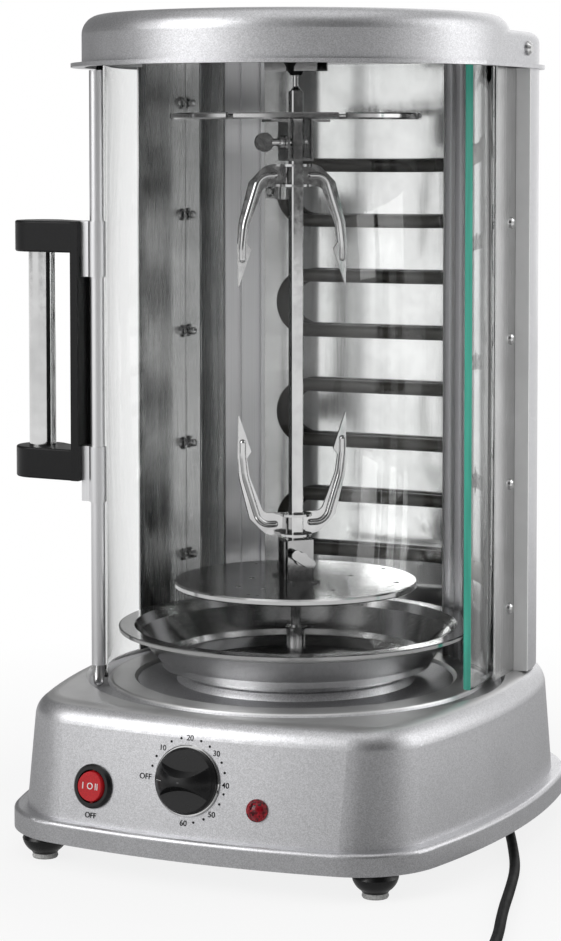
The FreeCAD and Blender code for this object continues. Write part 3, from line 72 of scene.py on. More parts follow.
def add_camera():
    """The photograph's camera, as fitted to the round parts: a long lens, tilted a little down."""
    data = bpy.data.cameras.new("camera")
    data.sensor_fit = "VERTICAL"
    data.sensor_height = SENSOR_HEIGHT
    data.lens = FOCAL_PIXELS / IMAGE_HEIGHT * data.sensor_height
    data.shift_x = (IMAGE_WIDTH / 2 - CENTRE_X) / IMAGE_HEIGHT
    data.shift_y = (CENTRE_Y - IMAGE_HEIGHT / 2) / IMAGE_HEIGHT
    data.clip_end = CLIP_END
    camera = bpy.data.objects.new("camera", data)
    bpy.context.scene.collection.objects.link(camera)
    camera.location = ring_at(CAMERA_DISTANCE, CAMERA_AZIMUTH, CAMERA_HEIGHT)
    camera.rotation_euler = (math.radians(90 - CAMERA_TILT), 0, math.radians(CAMERA_AZIMUTH))
    bpy.context.scene.camera = camera


add_camera()

# ---------------------------------------------------------------- materials

def new_material(name, color, metallic, roughness, **sockets):
    """A Principled material; sockets are further numbers on the shader, by their names."""
    material = bpy.data.materials.new(name)
    material.use_nodes = True
    shader = material.node_tree.nodes["Principled BSDF"]
    shader.inputs["Base Color"].default_value = (*color, 1.0)
    shader.inputs["Metallic"].default_value = metallic
    shader.inputs["Roughness"].default_value = roughness
    for socket, number in sockets.items():
        shader.inputs[socket.replace("_", " ")].default_value = number
    return material


def add_node(material, kind, **inputs):
    """A shader node of that kind; inputs are numbers on its sockets, by their names."""
    node = material.node_tree.nodes.new(kind)
    for name, number in inputs.items():
        node.inputs[name.replace("_", " ")].default_value = number
    return node


def link(material, start, end):
    material.node_tree.links.new(start, end)


def object_space(material, stretch=(1.0, 1.0, 1.0)):
    """Object coordinates in metres, multiplied along each axis."""
    source = material.node_tree.nodes.new("ShaderNodeTexCoord")
    mapping = material.node_tree.nodes.new("ShaderNodeMapping")
    mapping.inputs["Scale"].default_value = stretch
    link(material, source.outputs["Object"], mapping.inputs["Vector"])
    return mapping.outputs["Vector"]


def noise(material, place, scale, detail=3.0, roughness=0.6):
    """A grey noise of that many features to the metre."""
    node = add_node(material, "ShaderNodeTexNoise", Scale=scale, Detail=detail, Roughness=roughness)
    link(material, place, node.inputs["Vector"])
    return node.outputs["Fac"]


def cells(material, place, scale):
    """A random grey for each small cell, as of metal flakes."""
    node = add_node(material, "ShaderNodeTexVoronoi", Scale=scale)
    link(material, place, node.inputs["Vector"])
    split = material.node_tree.nodes.new("ShaderNodeSeparateColor")
    link(material, node.outputs["Color"], split.inputs["Color"])
    return split.outputs["Red"]


def spread(material, factor, low, high, start=0.3, stop=0.7):
    """A grey factor mapped to a number between low and high."""
    node = add_node(material, "ShaderNodeMapRange", From_Min=start, From_Max=stop, To_Min=low,
                    To_Max=high)
    link(material, factor, node.inputs["Value"])
    return node.outputs["Result"]


def tint(material, factor, dark, light, start=0.3, stop=0.7):
    """A grey factor mapped to a colour between two."""
    node = material.node_tree.nodes.new("ShaderNodeValToRGB")
    node.color_ramp.elements[0].position = start
    node.color_ramp.elements[0].color = (*dark, 1.0)
    node.color_ramp.elements[1].position = stop
    node.color_ramp.elements[1].color = (*light, 1.0)
    link(material, factor, node.inputs["Fac"])
    return node.outputs["Color"]


def shader_input(material, socket):
    """One socket of the material's Principled shader."""
    return material.node_tree.nodes["Principled BSDF"].inputs[socket]


def bump(material, height, distance, strength=1.0):
    """Adds a bump of that depth in metres to the shader, over any that it already has."""
    node = add_node(material, "ShaderNodeBump", Distance=distance, Strength=strength)
    link(material, height, node.inputs["Height"])
    socket = shader_input(material, "Normal")
    if socket.links:
        link(material, socket.links[0].from_socket, node.inputs["Normal"])
    link(material, node.outputs["Normal"], socket)


def mask(material, axis, edge, soft=0.0004):
    """0 below and 1 above a place along an object axis, in metres."""
    place = object_space(material)
    split = material.node_tree.nodes.new("ShaderNodeSeparateXYZ")
    link(material, place, split.inputs["Vector"])
    return spread(material, split.outputs[axis], 0.0, 1.0, edge - soft, edge + soft)


def pick(material, factor, low, high):
    """One grey or colour where the factor is 0, the other where it is 1."""
    node = material.node_tree.nodes.new("ShaderNodeMix")
    node.data_type = "RGBA"
    link(material, factor, node.inputs["Factor"])
    link(material, low, node.inputs["A"])
    link(material, high, node.inputs["B"])
    return node.outputs["Result"]


def silver_paint(name, axis=None, edge=0.0, above=True, grey=0.3, smooth=None):
    """Metallic silver paint: fine flakes that sparkle a little. On one side of a place along an
    axis it is of an even grey, as on the deck. Where a roughness for that side is given, it is
    plain glossy paint, as on the shell's flange, whose near-white grey there is a painted
    highlight."""
    material = new_material(name, (0.4, 0.4, 0.41), 0.92, 0.4)
    place = object_space(material)
    flakes = cells(material, place, 2300.0)
    color = tint(material, flakes, (0.47, 0.47, 0.482), (0.69, 0.69, 0.708), start=0.0, stop=1.0)
    if axis:
        even = mask(material, axis, edge)
        plain = tint(material, noise(material, place, 30.0), (grey * 0.94,) * 3, (grey * 1.04,) * 3)
        color = pick(material, even, color, plain) if above else pick(material, even, plain, color)
    link(material, color, shader_input(material, "Base Color"))
    rough = spread(material, noise(material, place, 25.0), 0.36, 0.43)
    if smooth:
        # On the shell's flange this near-white plain paint is a painted highlight.
        sleek = spread(material, noise(material, place, 60.0), smooth * 0.9, smooth * 1.1)
        rough = pick(material, even, rough, sleek) if above else pick(material, even, sleek, rough)
        metal = spread(material, even, 0.0, 0.92, start=0.0, stop=1.0)
        link(material, metal, shader_input(material, "Metallic"))
    link(material, rough, shader_input(material, "Roughness"))
    bump(material, flakes, 0.000012, strength=0.4)
    return material


def sheet_steel(name, grey, low, high, lines=(1.0, 1.0, 1.0)):
    """Pressed stainless sheet: uneven gloss, rolling lines and faint waves."""
    material = new_material(name, (grey, grey, grey * 0.985), 1.0, (low + high) / 2)
    place = object_space(material, lines)
    fine = noise(material, place, 700.0, detail=4.0, roughness=0.65)
    link(material, spread(material, fine, low, high), shader_input(material, "Roughness"))
    plain_place = object_space(material)
    wave = noise(material, plain_place, 18.0, detail=1.0)
    link(material, tint(material, noise(material, plain_place, 40.0), (grey * 0.9,) * 3,
                        (min(grey * 1.06, 1.0),) * 3), shader_input(material, "Base Color"))
    bump(material, fine, 0.000006, strength=0.25)
    bump(material, wave, 0.0012, strength=0.04)
    return material


def polished_steel():
    """Bright turned and bent steel, its polish uneven."""
    material = new_material("polished_steel", (0.6, 0.6, 0.6), 1.0, 0.09)
    place = object_space(material)
    link(material, spread(material, noise(material, place, 260.0, detail=4.0), 0.06, 0.14),
         shader_input(material, "Roughness"))
    link(material, tint(material, noise(material, place, 45.0, detail=2.0), (0.54, 0.54, 0.54),
                        (0.66, 0.66, 0.66)), shader_input(material, "Base Color"))
    bump(material, noise(material, place, 90.0, detail=2.0), 0.00004, strength=0.2)
    return material


def extruded_aluminium():
    """Anodised extrusion, satin, with very faint lines along its length."""
    material = new_material("extruded_aluminium", (0.72, 0.72, 0.73), 1.0, 0.34)
    place = object_space(material, (1.0, 1.0, 0.002))
    lines = noise(material, place, 5000.0, detail=1.0)
    link(material, tint(material, lines, (0.69, 0.69, 0.70), (0.75, 0.75, 0.76)),
         shader_input(material, "Base Color"))
    return material


def zinc_sheet():
    """Zinc-plated sheet with faint spangles."""
    material = new_material("zinc_sheet", (0.55, 0.56, 0.57), 1.0, 0.42)
    place = object_space(material)
    spangle = cells(material, place, 160.0)
    link(material, tint(material, spangle, (0.42, 0.43, 0.44), (0.64, 0.65, 0.66), start=0.0,
                        stop=1.0), shader_input(material, "Base Color"))
    link(material, spread(material, spangle, 0.34, 0.5, start=0.0, stop=1.0),
         shader_input(material, "Roughness"))
    return material


def moulded(name, color, low, high, depth, scale=1400.0, gloss=0.2):
    """Moulded plastic: an even fine texture, and gloss that varies a little."""
    material = new_material(name, color, 0.0, (low + high) / 2, Specular_IOR_Level=gloss)
    place = object_space(material)
    fine = noise(material, place, scale)
    link(material, spread(material, noise(material, place, 120.0), low, high),
         shader_input(material, "Roughness"))
    link(material, tint(material, fine, tuple(c * 0.8 for c in color),
                        tuple(min(c * 1.25, 1.0) for c in color)),
         shader_input(material, "Base Color"))
    bump(material, fine, depth, strength=0.5)
    return material


def heater_sheath():
    """The element's dark oxide skin, a little brown, with fired patches."""
    material = new_material("heater_sheath", (0.02, 0.018, 0.015), 0.0, 0.36,
                            Specular_IOR_Level=0.28)
    place = object_space(material)
    patches = noise(material, place, 60.0, detail=5.0, roughness=0.65)
    link(material, tint(material, patches, (0.012, 0.011, 0.009), (0.03, 0.027, 0.021)),
         shader_input(material, "Base Color"))
    link(material, spread(material, patches, 0.34, 0.5), shader_input(material, "Roughness"))
    bump(material, noise(material, place, 900.0), 0.00003, strength=0.5)
    return material


def red_lens():
    """The pilot lamp's dark red jewel, moulded with a small facet pattern inside; each facet's
    darker or lighter red is a painted glint.
    """
    material = new_material("red_lens", (0.3, 0.002, 0.008), 0.0, 0.12, Specular_IOR_Level=0.4)
    place = object_space(material)
    facet_relief_and_glints = cells(material, place, 650.0)
    # Darker and lighter red from facet to facet: painted glints.
    link(material, tint(material, facet_relief_and_glints, (0.03, 0.0, 0.002), (0.42, 0.006, 0.02), start=0.0,
                        stop=1.0), shader_input(material, "Base Color"))
    bump(material, facet_relief_and_glints, 0.0001, strength=0.3)
    return material


def clear_glass():
    """Thin clear sheet: it hardly bends what is behind it and reflects from a glossy skin."""
    material = new_material("clear_glass", (0.98, 0.99, 0.985), 0.0, 0.0, Transmission_Weight=1.0,
                            IOR=1.03, Coat_Weight=1.0, Coat_IOR=1.5, Coat_Roughness=0.01)
    place = object_space(material)
    link(material, tint(material, noise(material, place, 12.0), (0.975, 0.985, 0.98),
                        (0.995, 0.998, 0.996)), shader_input(material, "Base Color"))
    return material


def glowing_glass_edge():
    """The ground edge, where the sheet's own green shows, with a faint green glow on it that is
    painted light.
    """
    material = new_material("glowing_glass_edge", (0.02, 0.36, 0.25), 0.0, 0.35, Emission_Strength=0.1)
    # The emission makes the edge glow a little: painted light, not a lamp.
    shader_input(material, "Emission Color").default_value = (0.05, 0.5, 0.36, 1.0)
    place = object_space(material)
    streaks = noise(material, object_space(material, (1.0, 1.0, 0.05)), 300.0)
    link(material, tint(material, streaks, (0.02, 0.27, 0.2), (0.05, 0.42, 0.31)),
         shader_input(material, "Base Color"))
    bump(material, noise(material, place, 1500.0), 0.00003, strength=0.5)
    return material


def ceramic():
    """The terminals' cream ceramic, a little uneven."""
    material = new_material("ceramic", (0.8, 0.78, 0.72), 0.0, 0.35)
    place = object_space(material)
    link(material, tint(material, noise(material, place, 300.0), (0.74, 0.72, 0.66),
                        (0.84, 0.82, 0.77)), shader_input(material, "Base Color"))
    return material


def printed_ink():
    """Black screen-printed marks, a little worn at their edges."""
    material = new_material("printed_ink", (0.012, 0.012, 0.013), 0.0, 0.6, Specular_IOR_Level=0.1)
    place = object_space(material)
    link(material, tint(material, noise(material, place, 2500.0), (0.008, 0.008, 0.009),
                        (0.022, 0.022, 0.024)), shader_input(material, "Base Color"))
    return material


# Where the paint turns to an even grey, in metres: above the deck's edge, and in front of the rear
# shell's fold, where the near-white grey is a painted highlight on the flange.
DECK_EDGE = 0.0935
SHELL_EDGE = 0.0556
SILVER = silver_paint("silver_paint")
BASE_PAINT = silver_paint("base_paint", "Z", DECK_EDGE, above=True, grey=0.78)
# In front of the fold the paint is near-white and not metallic: a painted highlight on the flange.
SHELL_PAINT_LIT_FLANGE = silver_paint("shell_paint_lit_flange", "Y", SHELL_EDGE, above=False, grey=0.95, smooth=0.2)

# Sheet steels: grey, least and greatest roughness, and the stretch of lines rolled up the sheet.
UPRIGHT = (1.0, 1.0, 0.02)
STEEL = sheet_steel("pressed_steel", 0.5, 0.09, 0.18)
DISH_STEEL = sheet_steel("dish_steel", 0.72, 0.1, 0.2)
MIRROR_STEEL = sheet_steel("reflector_steel", 0.9, 0.08, 0.15, UPRIGHT)
FLANGE_STEEL = sheet_steel("flange_steel", 0.85, 0.14, 0.22, UPRIGHT)
WALL_STEEL = sheet_steel("wall_steel", 0.58, 0.2, 0.3, UPRIGHT)
BRIGHT = polished_steel()
ALUMINIUM = extruded_aluminium()
ZINC = zinc_sheet()

# Mouldings: colour, least and greatest roughness, and the texture's depth in metres.
BLACK = moulded("black_plastic", (0.01, 0.01, 0.0105), 0.3, 0.4, 0.00003)
GLOSS_BLACK = moulded("gloss_black", (0.006, 0.006, 0.0065), 0.22, 0.28, 0.00001, gloss=0.42)
RED = moulded("red_plastic", (0.52, 0.012, 0.018), 0.2, 0.3, 0.00002, gloss=0.4)
RUBBER = moulded("rubber", (0.0025, 0.0025, 0.0027), 0.4, 0.5, 0.00003, scale=900.0, gloss=0.03)
PAD = moulded("foot_pad", (0.55, 0.55, 0.54), 0.45, 0.6, 0.00005, scale=900.0)
WHITE_INK = moulded("white_mark", (0.85, 0.85, 0.85), 0.4, 0.5, 0.000005)

SHEATH = heater_sheath()
LENS = red_lens()
GLASS = clear_glass()
EDGE = glowing_glass_edge()
CERAMIC = ceramic()
INK = printed_ink()

FINISHES = {
    SILVER: ("lid", "tray_seat"),
    SHELL_PAINT_LIT_FLANGE: ("rear_shell",),
    BASE_PAINT: ("base_shell",),
    STEEL: ("upper_disc", "bearing_bracket", "heater_straps", "lower_bracket", "upper_bracket"),
    DISH_STEEL: ("drip_tray", "lower_plate", "ceiling_plate"),
    MIRROR_STEEL: ("reflector",),
    WALL_STEEL: ("inner_wall_left", "inner_wall_right"),
    BRIGHT: ("spit_shaft", "drive_sleeve", "lower_fork", "upper_fork", "lower_wing_screw",
             "upper_thumb_screw", "stile_foot", "handle_grip", "dial_ring", "casing_screws"),
    ALUMINIUM: ("pillar_left", "pillar_right", "door_stile", "clip_lower", "clip_upper",
                "upper_track"),
    ZINC: ("bottom_plate", "gear_motor", "motor_posts", "timer_works", "base_screws"),
    BLACK: ("handle_strip", "handle_arm_lower", "handle_arm_upper", "bearing_bush", "switch_body",
            "lamp_body", "cord_gland", "plug"),
    GLOSS_BLACK: ("timer_knob", "rocker_bezel", "foot_front_left", "foot_front_right",
                  "foot_rear_left", "foot_rear_right"),
    RED: ("rocker_cap",),
    RUBBER: ("power_cord", "cord_coil"),
    PAD: ("foot_pads",),
    SHEATH: ("heater_element",),
    LENS: ("lamp_lens",),
    GLASS: ("door_glass",),
    CERAMIC: ("heater_terminals",),
}


def dress_nodes():
    """Gives every CAD node its finish, in its material slots."""
    for material, names in FINISHES.items():
        for name in names:
            slots = nodes[name].material_slots
            for index in range(len(slots)):
                slots[index].material = material


dress_nodes()

# ---------------------------------------------------------------- making pieces

def add_piece(name, mesh, body, slot, *materials, smooth=True):
    """Puts a mesh in the scene as a piece on a body, with its materials; its record slot is not
    used.
    """
    piece = bpy.data.objects.new(name, mesh)
    bpy.context.scene.collection.objects.link(piece)
    for material in materials:
        mesh.materials.append(material)
    for face in mesh.polygons:
        face.use_smooth = smooth
    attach(piece, body)
    return piece


def mesh_of(work, name):
    """Turns a bmesh into a mesh, its faces all looking outwards."""
    mesh = bpy.data.meshes.new(name)
    bmesh.ops.recalc_face_normals(work, faces=work.faces)
    work.to_mesh(mesh)
    work.free()
    return mesh


def loft(work, rows):
    """Joins rows of points into a closed tube, its two ends faced."""
    for before, after in zip(rows, rows[1:]):
        for k in range(len(before)):
            turn = (k + 1) % len(before)
            work.faces.new((before[k], before[turn], after[turn], after[k]))
    work.faces.new(rows[0])
    return work.faces.new(rows[-1])


# ---------------------------------------------------------------- door glass

# The pane's radii, heights and two upright edges at rest, in millimetres and degrees.
GLASS_INNER, GLASS_OUTER = 118.5, 123.5
GLASS_BOTTOM, GLASS_TOP = 97.5, 478.0
GLASS_FIRST, GLASS_LAST = -54.6, -278.0
GLASS_STEPS = 112
GLASS_BEVEL = 0.6


def door_pane():
    """The curved sheet of the door, its ground edges bevelled and its free end green, with a faint
    painted glow.
    """
    work = bmesh.new()
    rim = [(GLASS_INNER, GLASS_BOTTOM + GLASS_BEVEL), (GLASS_INNER + GLASS_BEVEL, GLASS_BOTTOM),
           (GLASS_OUTER - GLASS_BEVEL, GLASS_BOTTOM), (GLASS_OUTER, GLASS_BOTTOM + GLASS_BEVEL),
           (GLASS_OUTER, GLASS_TOP - GLASS_BEVEL), (GLASS_OUTER - GLASS_BEVEL, GLASS_TOP),
           (GLASS_INNER + GLASS_BEVEL, GLASS_TOP), (GLASS_INNER, GLASS_TOP - GLASS_BEVEL)]
    rows = []
    for step in range(GLASS_STEPS + 1):
        angle = GLASS_FIRST + (GLASS_LAST - GLASS_FIRST) * step / GLASS_STEPS
        rows.append([work.verts.new(ring_at(radius, angle, z)) for radius, z in rim])
    loft(work, rows).material_index = 1
    mesh = mesh_of(work, "door_pane")
    pane = add_piece("door_pane", mesh, "door", "glass", GLASS, EDGE)
    for face in mesh.polygons:
        face.use_smooth = face.area > (2 * GLASS_BEVEL * MM) ** 2 and face.material_index == 0
    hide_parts("door_glass")


door_pane()

# ---------------------------------------------------------------- dial and switch marks

# The front panel leans back and is bowed, and passes through this Y and Z on its middle line.
FACE_TILT = math.atan(10.0 / 67.1)
FACE_BOW = 560.0
FACE_Y, FACE_Z = -153.7, 28.4
INK_LIFT = 0.06
INK_DEPTH = 0.03
INK_SPREAD = 0.045


def panel_frame(x, z):
    """The front panel's own axes at x, z as a matrix, and the point there."""
    slope = math.tan(FACE_TILT)
    point = at(x, FACE_Y + slope * (z - FACE_Z) + x * x / (2 * FACE_BOW), z)
    normal = Vector((x / FACE_BOW, -1.0, slope)).normalized()
    side = Vector((0, 0, 1)).cross(normal).normalized()
    up = normal.cross(side)
    return Matrix((side, up, normal)).transposed().to_4x4(), point


def print_text(name, text, x, z, size, lift=INK_LIFT, body="base", material=INK, lean=0.0):
    """Flat characters centred at x, z over the front panel, leaning sideways by an angle."""
    curve = bpy.data.curves.new(name, "FONT")
    curve.body = text
    curve.size = size * MM
    curve.align_x = "CENTER"
    curve.align_y = "CENTER"
    curve.extrude = INK_DEPTH * MM
    curve.offset = INK_SPREAD * MM
    curve.materials.append(material)
    piece = bpy.data.objects.new(name, curve)
    bpy.context.scene.collection.objects.link(piece)
    turn, point = panel_frame(x, z)
    tilt = Matrix.Rotation(lean, 4, "Y")
    piece.matrix_world = (Matrix.Translation(point + turn.to_3x3() @ Vector((0, 0, lift * MM)))
                          @ turn @ tilt)
    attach(piece, body)


DISC_SIDES = 24
# A disc's bevel starts at this share of its height and leaves this share of its radius on top.
DISC_WALL, DISC_TOP = 0.6, 0.9


def disc_mesh(name, radius, height):
    """A low dot with a bevelled rim, standing on its own XY plane."""
    work = bmesh.new()
    rings = [(radius, 0.0), (radius, height * DISC_WALL), (radius * DISC_TOP, height)]
    turns = [2 * math.pi * k / DISC_SIDES for k in range(DISC_SIDES)]
    rows = [[work.verts.new(Vector((r * math.cos(a), r * math.sin(a), z)) * MM) for a in turns]
            for r, z in rings]
    loft(work, rows)
    return mesh_of(work, name)


KNOB_X, KNOB_Z = -3.6, 59.8
DIAL_RADIUS = 24.0
DIAL_LETTERS = ("OFF", "10", "20", "30", "40", "50", "60")
LETTER_RADIUS, OFF_RADIUS = 24.2, 27.4
FIRST_LETTER, LETTER_STEP = -0.5, 45.5
TEXT_SIZE = 4.6
DOT_RADIUS = 0.74
DOT_DEPTH = 0.08
DOT_RAISE = 0.3
# The dots' places on the dial, in degrees clockwise from nine o'clock.
DOT_ANGLES = (14.4, 29.4, 61.0, 77.0, 107.8, 122.6, 150.5, 165.0, 194.0, 209.0, 240.8, 257.0)


def dial_point(radius, degrees):
    """A place round the knob, the angle clockwise from nine o'clock."""
    turn = math.radians(180.0 - degrees)
    return KNOB_X + radius * math.cos(turn), KNOB_Z + radius * math.sin(turn)


def dial_marks():
    """The numbers and dots printed round the timer knob."""
    for number, text in enumerate(DIAL_LETTERS):
        radius = LETTER_RADIUS if number else OFF_RADIUS
        x, z = dial_point(radius, FIRST_LETTER + LETTER_STEP * number)
        print_text("dial_" + text.lower(), text, x, z, TEXT_SIZE)
    for number, angle in enumerate(DOT_ANGLES):
        x, z = dial_point(DIAL_RADIUS, angle)
        turn, point = panel_frame(x, z + DOT_RAISE)
        mesh = disc_mesh("dial_dot_%02d" % number, DOT_RADIUS, DOT_DEPTH)
        mesh.transform(Matrix.Translation(point) @ turn)
        add_piece("dial_dot_%02d" % number, mesh, "base", "black_plastic", INK, smooth=False)


ROCKER_X, ROCKER_Z = -66.0, 50.0
# How far the middle of the rocker's cap stands over the panel, and the radius of its dish.
CAP_DISH, CAP_BOW = 3.4, 34.0
CAP_INK_LIFT = 0.12
SWITCH_TEXT_SIZE = 5.4
# Each mark on the cap: its name, its character and its place across the cap.
CAP_MARKS = (("switch_one", "I", -4.9), ("switch_off", "O", -0.2), ("switch_two", "II", 4.4))
WORD_X, WORD_Z, WORD_SIZE = -66.9, 33.0, 4.5


def switch_marks():
    """The marks on the rocker's dished cap."""
    for name, text, shift in CAP_MARKS:
        print_text(name, text, ROCKER_X + shift, ROCKER_Z, SWITCH_TEXT_SIZE,
                   lift=CAP_DISH + shift * shift / (2 * CAP_BOW) + CAP_INK_LIFT, body="rocker",
                   material=WHITE_INK, lean=-shift / CAP_BOW)


# The dome that the knob's ridge follows, and the pointer on it, from the knob's middle.
DOME_RADIUS, DOME_CENTRE = 23.16, -10.16
POINTER_START, POINTER_STOP, POINTER_STEPS = -17.4, -12.6, 8
POINTER_SUNK, POINTER_PROUD = -0.3, 0.05
# Each part of the pointer: its name, its lower and upper edge, and its material.
# The groove is a black strip of painted shade, its lower edge a light strip of painted highlight.
POINTER_PARTS = (("pointer_groove_shade", -0.25, 0.55, BLACK), ("pointer_edge_highlight", -0.6, -0.3, PAD))


def pointer_line():
    """The knob's pointer groove: a black strip of painted shade with a light strip of painted
    highlight on its lower edge, at the left end of its ridge.
    """
    for name, low, high, material in POINTER_PARTS:
        work = bmesh.new()
        rows = []
        for step in range(POINTER_STEPS + 1):
            x = POINTER_START + (POINTER_STOP - POINTER_START) * step / POINTER_STEPS
            row = []
            for y, lift in ((low, POINTER_SUNK), (low, POINTER_PROUD), (high, POINTER_PROUD),
                            (high, POINTER_SUNK)):
                height = math.sqrt(DOME_RADIUS ** 2 - x * x - y * y) + DOME_CENTRE
                row.append(work.verts.new(Vector((x, y, height + lift)) * MM))
            rows.append(row)
        loft(work, rows)
        mesh = mesh_of(work, name)
        turn, point = panel_frame(KNOB_X, KNOB_Z)
        mesh.transform(Matrix.Translation(point) @ turn)
        add_piece(name, mesh, "timer_knob", "black_plastic", material, smooth=False)


dial_marks()
switch_marks()
pointer_line()
print_text("switch_word_off", "OFF", WORD_X, WORD_Z, WORD_SIZE)

# ---------------------------------------------------------------- turning plate

# Punched holes of the turning plate: millimetres across and behind the spit, as the photograph
# looks at it.
PLATE_HOLES = ((-46.5, 55.0), (-27.5, 4.5), (-19.5, -34.0), (-35.5, -27.7), (34.5, 12.6),
               (56.0, 38.7), (62.4, -12.8), (22.7, -42.3), (14.2, -19.9), (10.5, -9.3))
ABOVE_PLATE = 200.0
# Each part of a hole: its name, its radius, its lower and upper face over the plate, its material.
# The hole is a black disc laid on the plate: painted shade where the opening is dark.
HOLE_PARTS = (("plate_lip", 1.9, -0.2, 0.2, BRIGHT), ("plate_hole_shade", 1.25, 0.15, 0.28, BLACK))


def plate_holes():
    """Small punched holes: a bright raised lip round a black disc of painted shade that stands for
    the dark opening.
    """
    turn = math.radians(CAMERA_AZIMUTH)
    plate = nodes["lower_plate"]
    to_plate = plate.matrix_world.inverted()
    for number, (u, v) in enumerate(PLATE_HOLES):
        x, y = u * math.cos(turn) - v * math.sin(turn), u * math.sin(turn) + v * math.cos(turn)
        above = to_plate @ at(x, y, ABOVE_PLATE)
        found, spot, normal, _ = plate.ray_cast(above, Vector((0, 0, -1)))
        if not found:
            print("plate hole", number, "misses the plate")
            continue
        upright = normal.to_track_quat("Z", "Y").to_matrix().to_4x4()
        seat = Matrix.Translation(plate.matrix_world @ spot) @ upright
        for part, radius, low, high, material in HOLE_PARTS:
            name = "%s_%02d" % (part, number)
            mesh = disc_mesh(name, radius, high - low)
            mesh.transform(seat @ Matrix.Translation(Vector((0, 0, low)) * MM))
            add_piece(name, mesh, "lower_holder", "steel", material)


plate_holes()

# ---------------------------------------------------------------- inner walls' flanges

FLANGE_Y, FLANGE_OUTER, FLANGE_INNER = 94.6, 121.8, 111.0
FLANGE_SHEET, FLANGE_HEM, FLANGE_CHAMFER = 0.7, 1.6, 0.5
FLANGE_LOW, FLANGE_HIGH = 95.9, 484.6
RIVET_HEIGHTS = (149.9, 225.0, 300.1, 377.9, 451.9)
RIVET_RADIUS, RIVET_DEPTH, RIVET_SUNK = 2.6, 1.3, 0.1


def wall_flanges():
    """The narrow folded strip down the rear edge of each inner wall, facing the front, riveted."""
    for label, side in (("left", -1), ("right", 1)):
        work = bmesh.new()
        outline = ((FLANGE_OUTER, FLANGE_Y), (FLANGE_INNER + FLANGE_CHAMFER, FLANGE_Y),
                   (FLANGE_INNER, FLANGE_Y + FLANGE_CHAMFER), (FLANGE_INNER, FLANGE_Y + FLANGE_HEM),
                   (FLANGE_INNER + FLANGE_SHEET, FLANGE_Y + FLANGE_HEM),
                   (FLANGE_INNER + FLANGE_SHEET, FLANGE_Y + FLANGE_SHEET),
                   (FLANGE_OUTER, FLANGE_Y + FLANGE_SHEET))
        ends = [[work.verts.new(at(side * x, y, z)) for x, y in outline]
                for z in (FLANGE_LOW, FLANGE_HIGH)]
        loft(work, ends)
        name = "wall_flange_" + label
        add_piece(name, mesh_of(work, name), "base", "steel", FLANGE_STEEL, smooth=False)
        for number, height in enumerate(RIVET_HEIGHTS):
            name = "wall_rivet_%s_%d" % (label, number)
            mesh = disc_mesh(name, RIVET_RADIUS, RIVET_DEPTH)
            middle = at(side * (FLANGE_OUTER + FLANGE_INNER) / 2, FLANGE_Y + RIVET_SUNK, height)
            mesh.transform(Matrix.Translation(middle) @ Matrix.Rotation(math.pi / 2, 4, "X"))
            add_piece(name, mesh, "base", "steel", BRIGHT)


wall_flanges()

# ---------------------------------------------------------------- power cord

CORD_RADIUS = 3.15
CORD_BEVEL_STEPS, CORD_STEPS = 5, 8
# The route's points, from the gland to where the coil starts.
ROUTE = (
    (114.2, 56.4, 8.6), (123.3, 40.9, 8.2), (134.0, 22.0, 3.6), (149.5, -16.0, 3.2),
    (164.5, -56.0, 3.2), (175.5, -98.0, 3.2), (186.0, -142.0, 3.2), (200.5, -192.0, 3.2),
    (208.0, -240.0, 3.2), (210.5, -271.3, 3.2),
)
COIL_CENTRE = (174.3, -290.5)
COIL_RADIUS = 34.7
COIL_START, COIL_STOP = 16.0, -1170.0
COIL_STEP = 22.5
# Where the coil goes in, up and out again, in turns from its start, and the turns that each takes.
COIL_IN, COIL_UP, COIL_OUT = 0.85, 1.75, 2.75
COIL_SHIFT = 0.3
PLUG_START = (158.3, -328.35, 9.45)


def shifted(turn, start):
    """The share of a shift that is done at a turn: 0 before it and 1 after it."""
    return min(max((turn - start) / COIL_SHIFT, 0.0), 1.0)


def coil_point(angle):
    """Four turns beside and on each other: out and low, in and low, in and high, out and high."""
    turn = (COIL_START - angle) / 360.0
    inward = shifted(turn, COIL_IN) - shifted(turn, COIL_OUT)
    raised = shifted(turn, COIL_UP)
    radius = COIL_RADIUS + CORD_RADIUS * (1.0 - 2.0 * inward)
    height = CORD_RADIUS * (1.0 + 2.0 * raised)
    spot = math.radians(angle)
    return (COIL_CENTRE[0] + radius * math.cos(spot), COIL_CENTRE[1] + radius * math.sin(spot),
            height)


def power_cord():
    """The mains lead: out of the gland, down to the worktop and round its coil to the plug."""
    points = list(ROUTE[:-1])
    angle = COIL_START
    while angle > COIL_STOP:
        points.append(coil_point(angle))
        angle -= COIL_STEP
    points.append(PLUG_START)
    curve = bpy.data.curves.new("mains_lead", "CURVE")
    curve.dimensions = "3D"
    curve.bevel_depth = CORD_RADIUS * MM
    curve.bevel_resolution = CORD_BEVEL_STEPS
    curve.resolution_u = CORD_STEPS
    curve.use_fill_caps = True
    spline = curve.splines.new("NURBS")
    spline.points.add(len(points) - 1)
    for control, point in zip(spline.points, points):
        control.co = (*at(*point), 1.0)
    spline.order_u = 3
    spline.use_endpoint_u = True
    curve.materials.append(RUBBER)
    lead = bpy.data.objects.new("mains_lead", curve)
    bpy.context.scene.collection.objects.link(lead)
    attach(lead, "base")
    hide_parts("power_cord", "cord_coil")


power_cord()

# ---------------------------------------------------------------- stage and light

def math_node(tree, operation, *values):
    """A maths node, each of its values a number or a socket."""
    node = tree.nodes.new("ShaderNodeMath")
    node.operation = operation
    for socket, number in zip(node.inputs, values):
        if isinstance(number, float):
            socket.default_value = number
        else:
            tree.links.new(number, socket)
    return node.outputs[0]


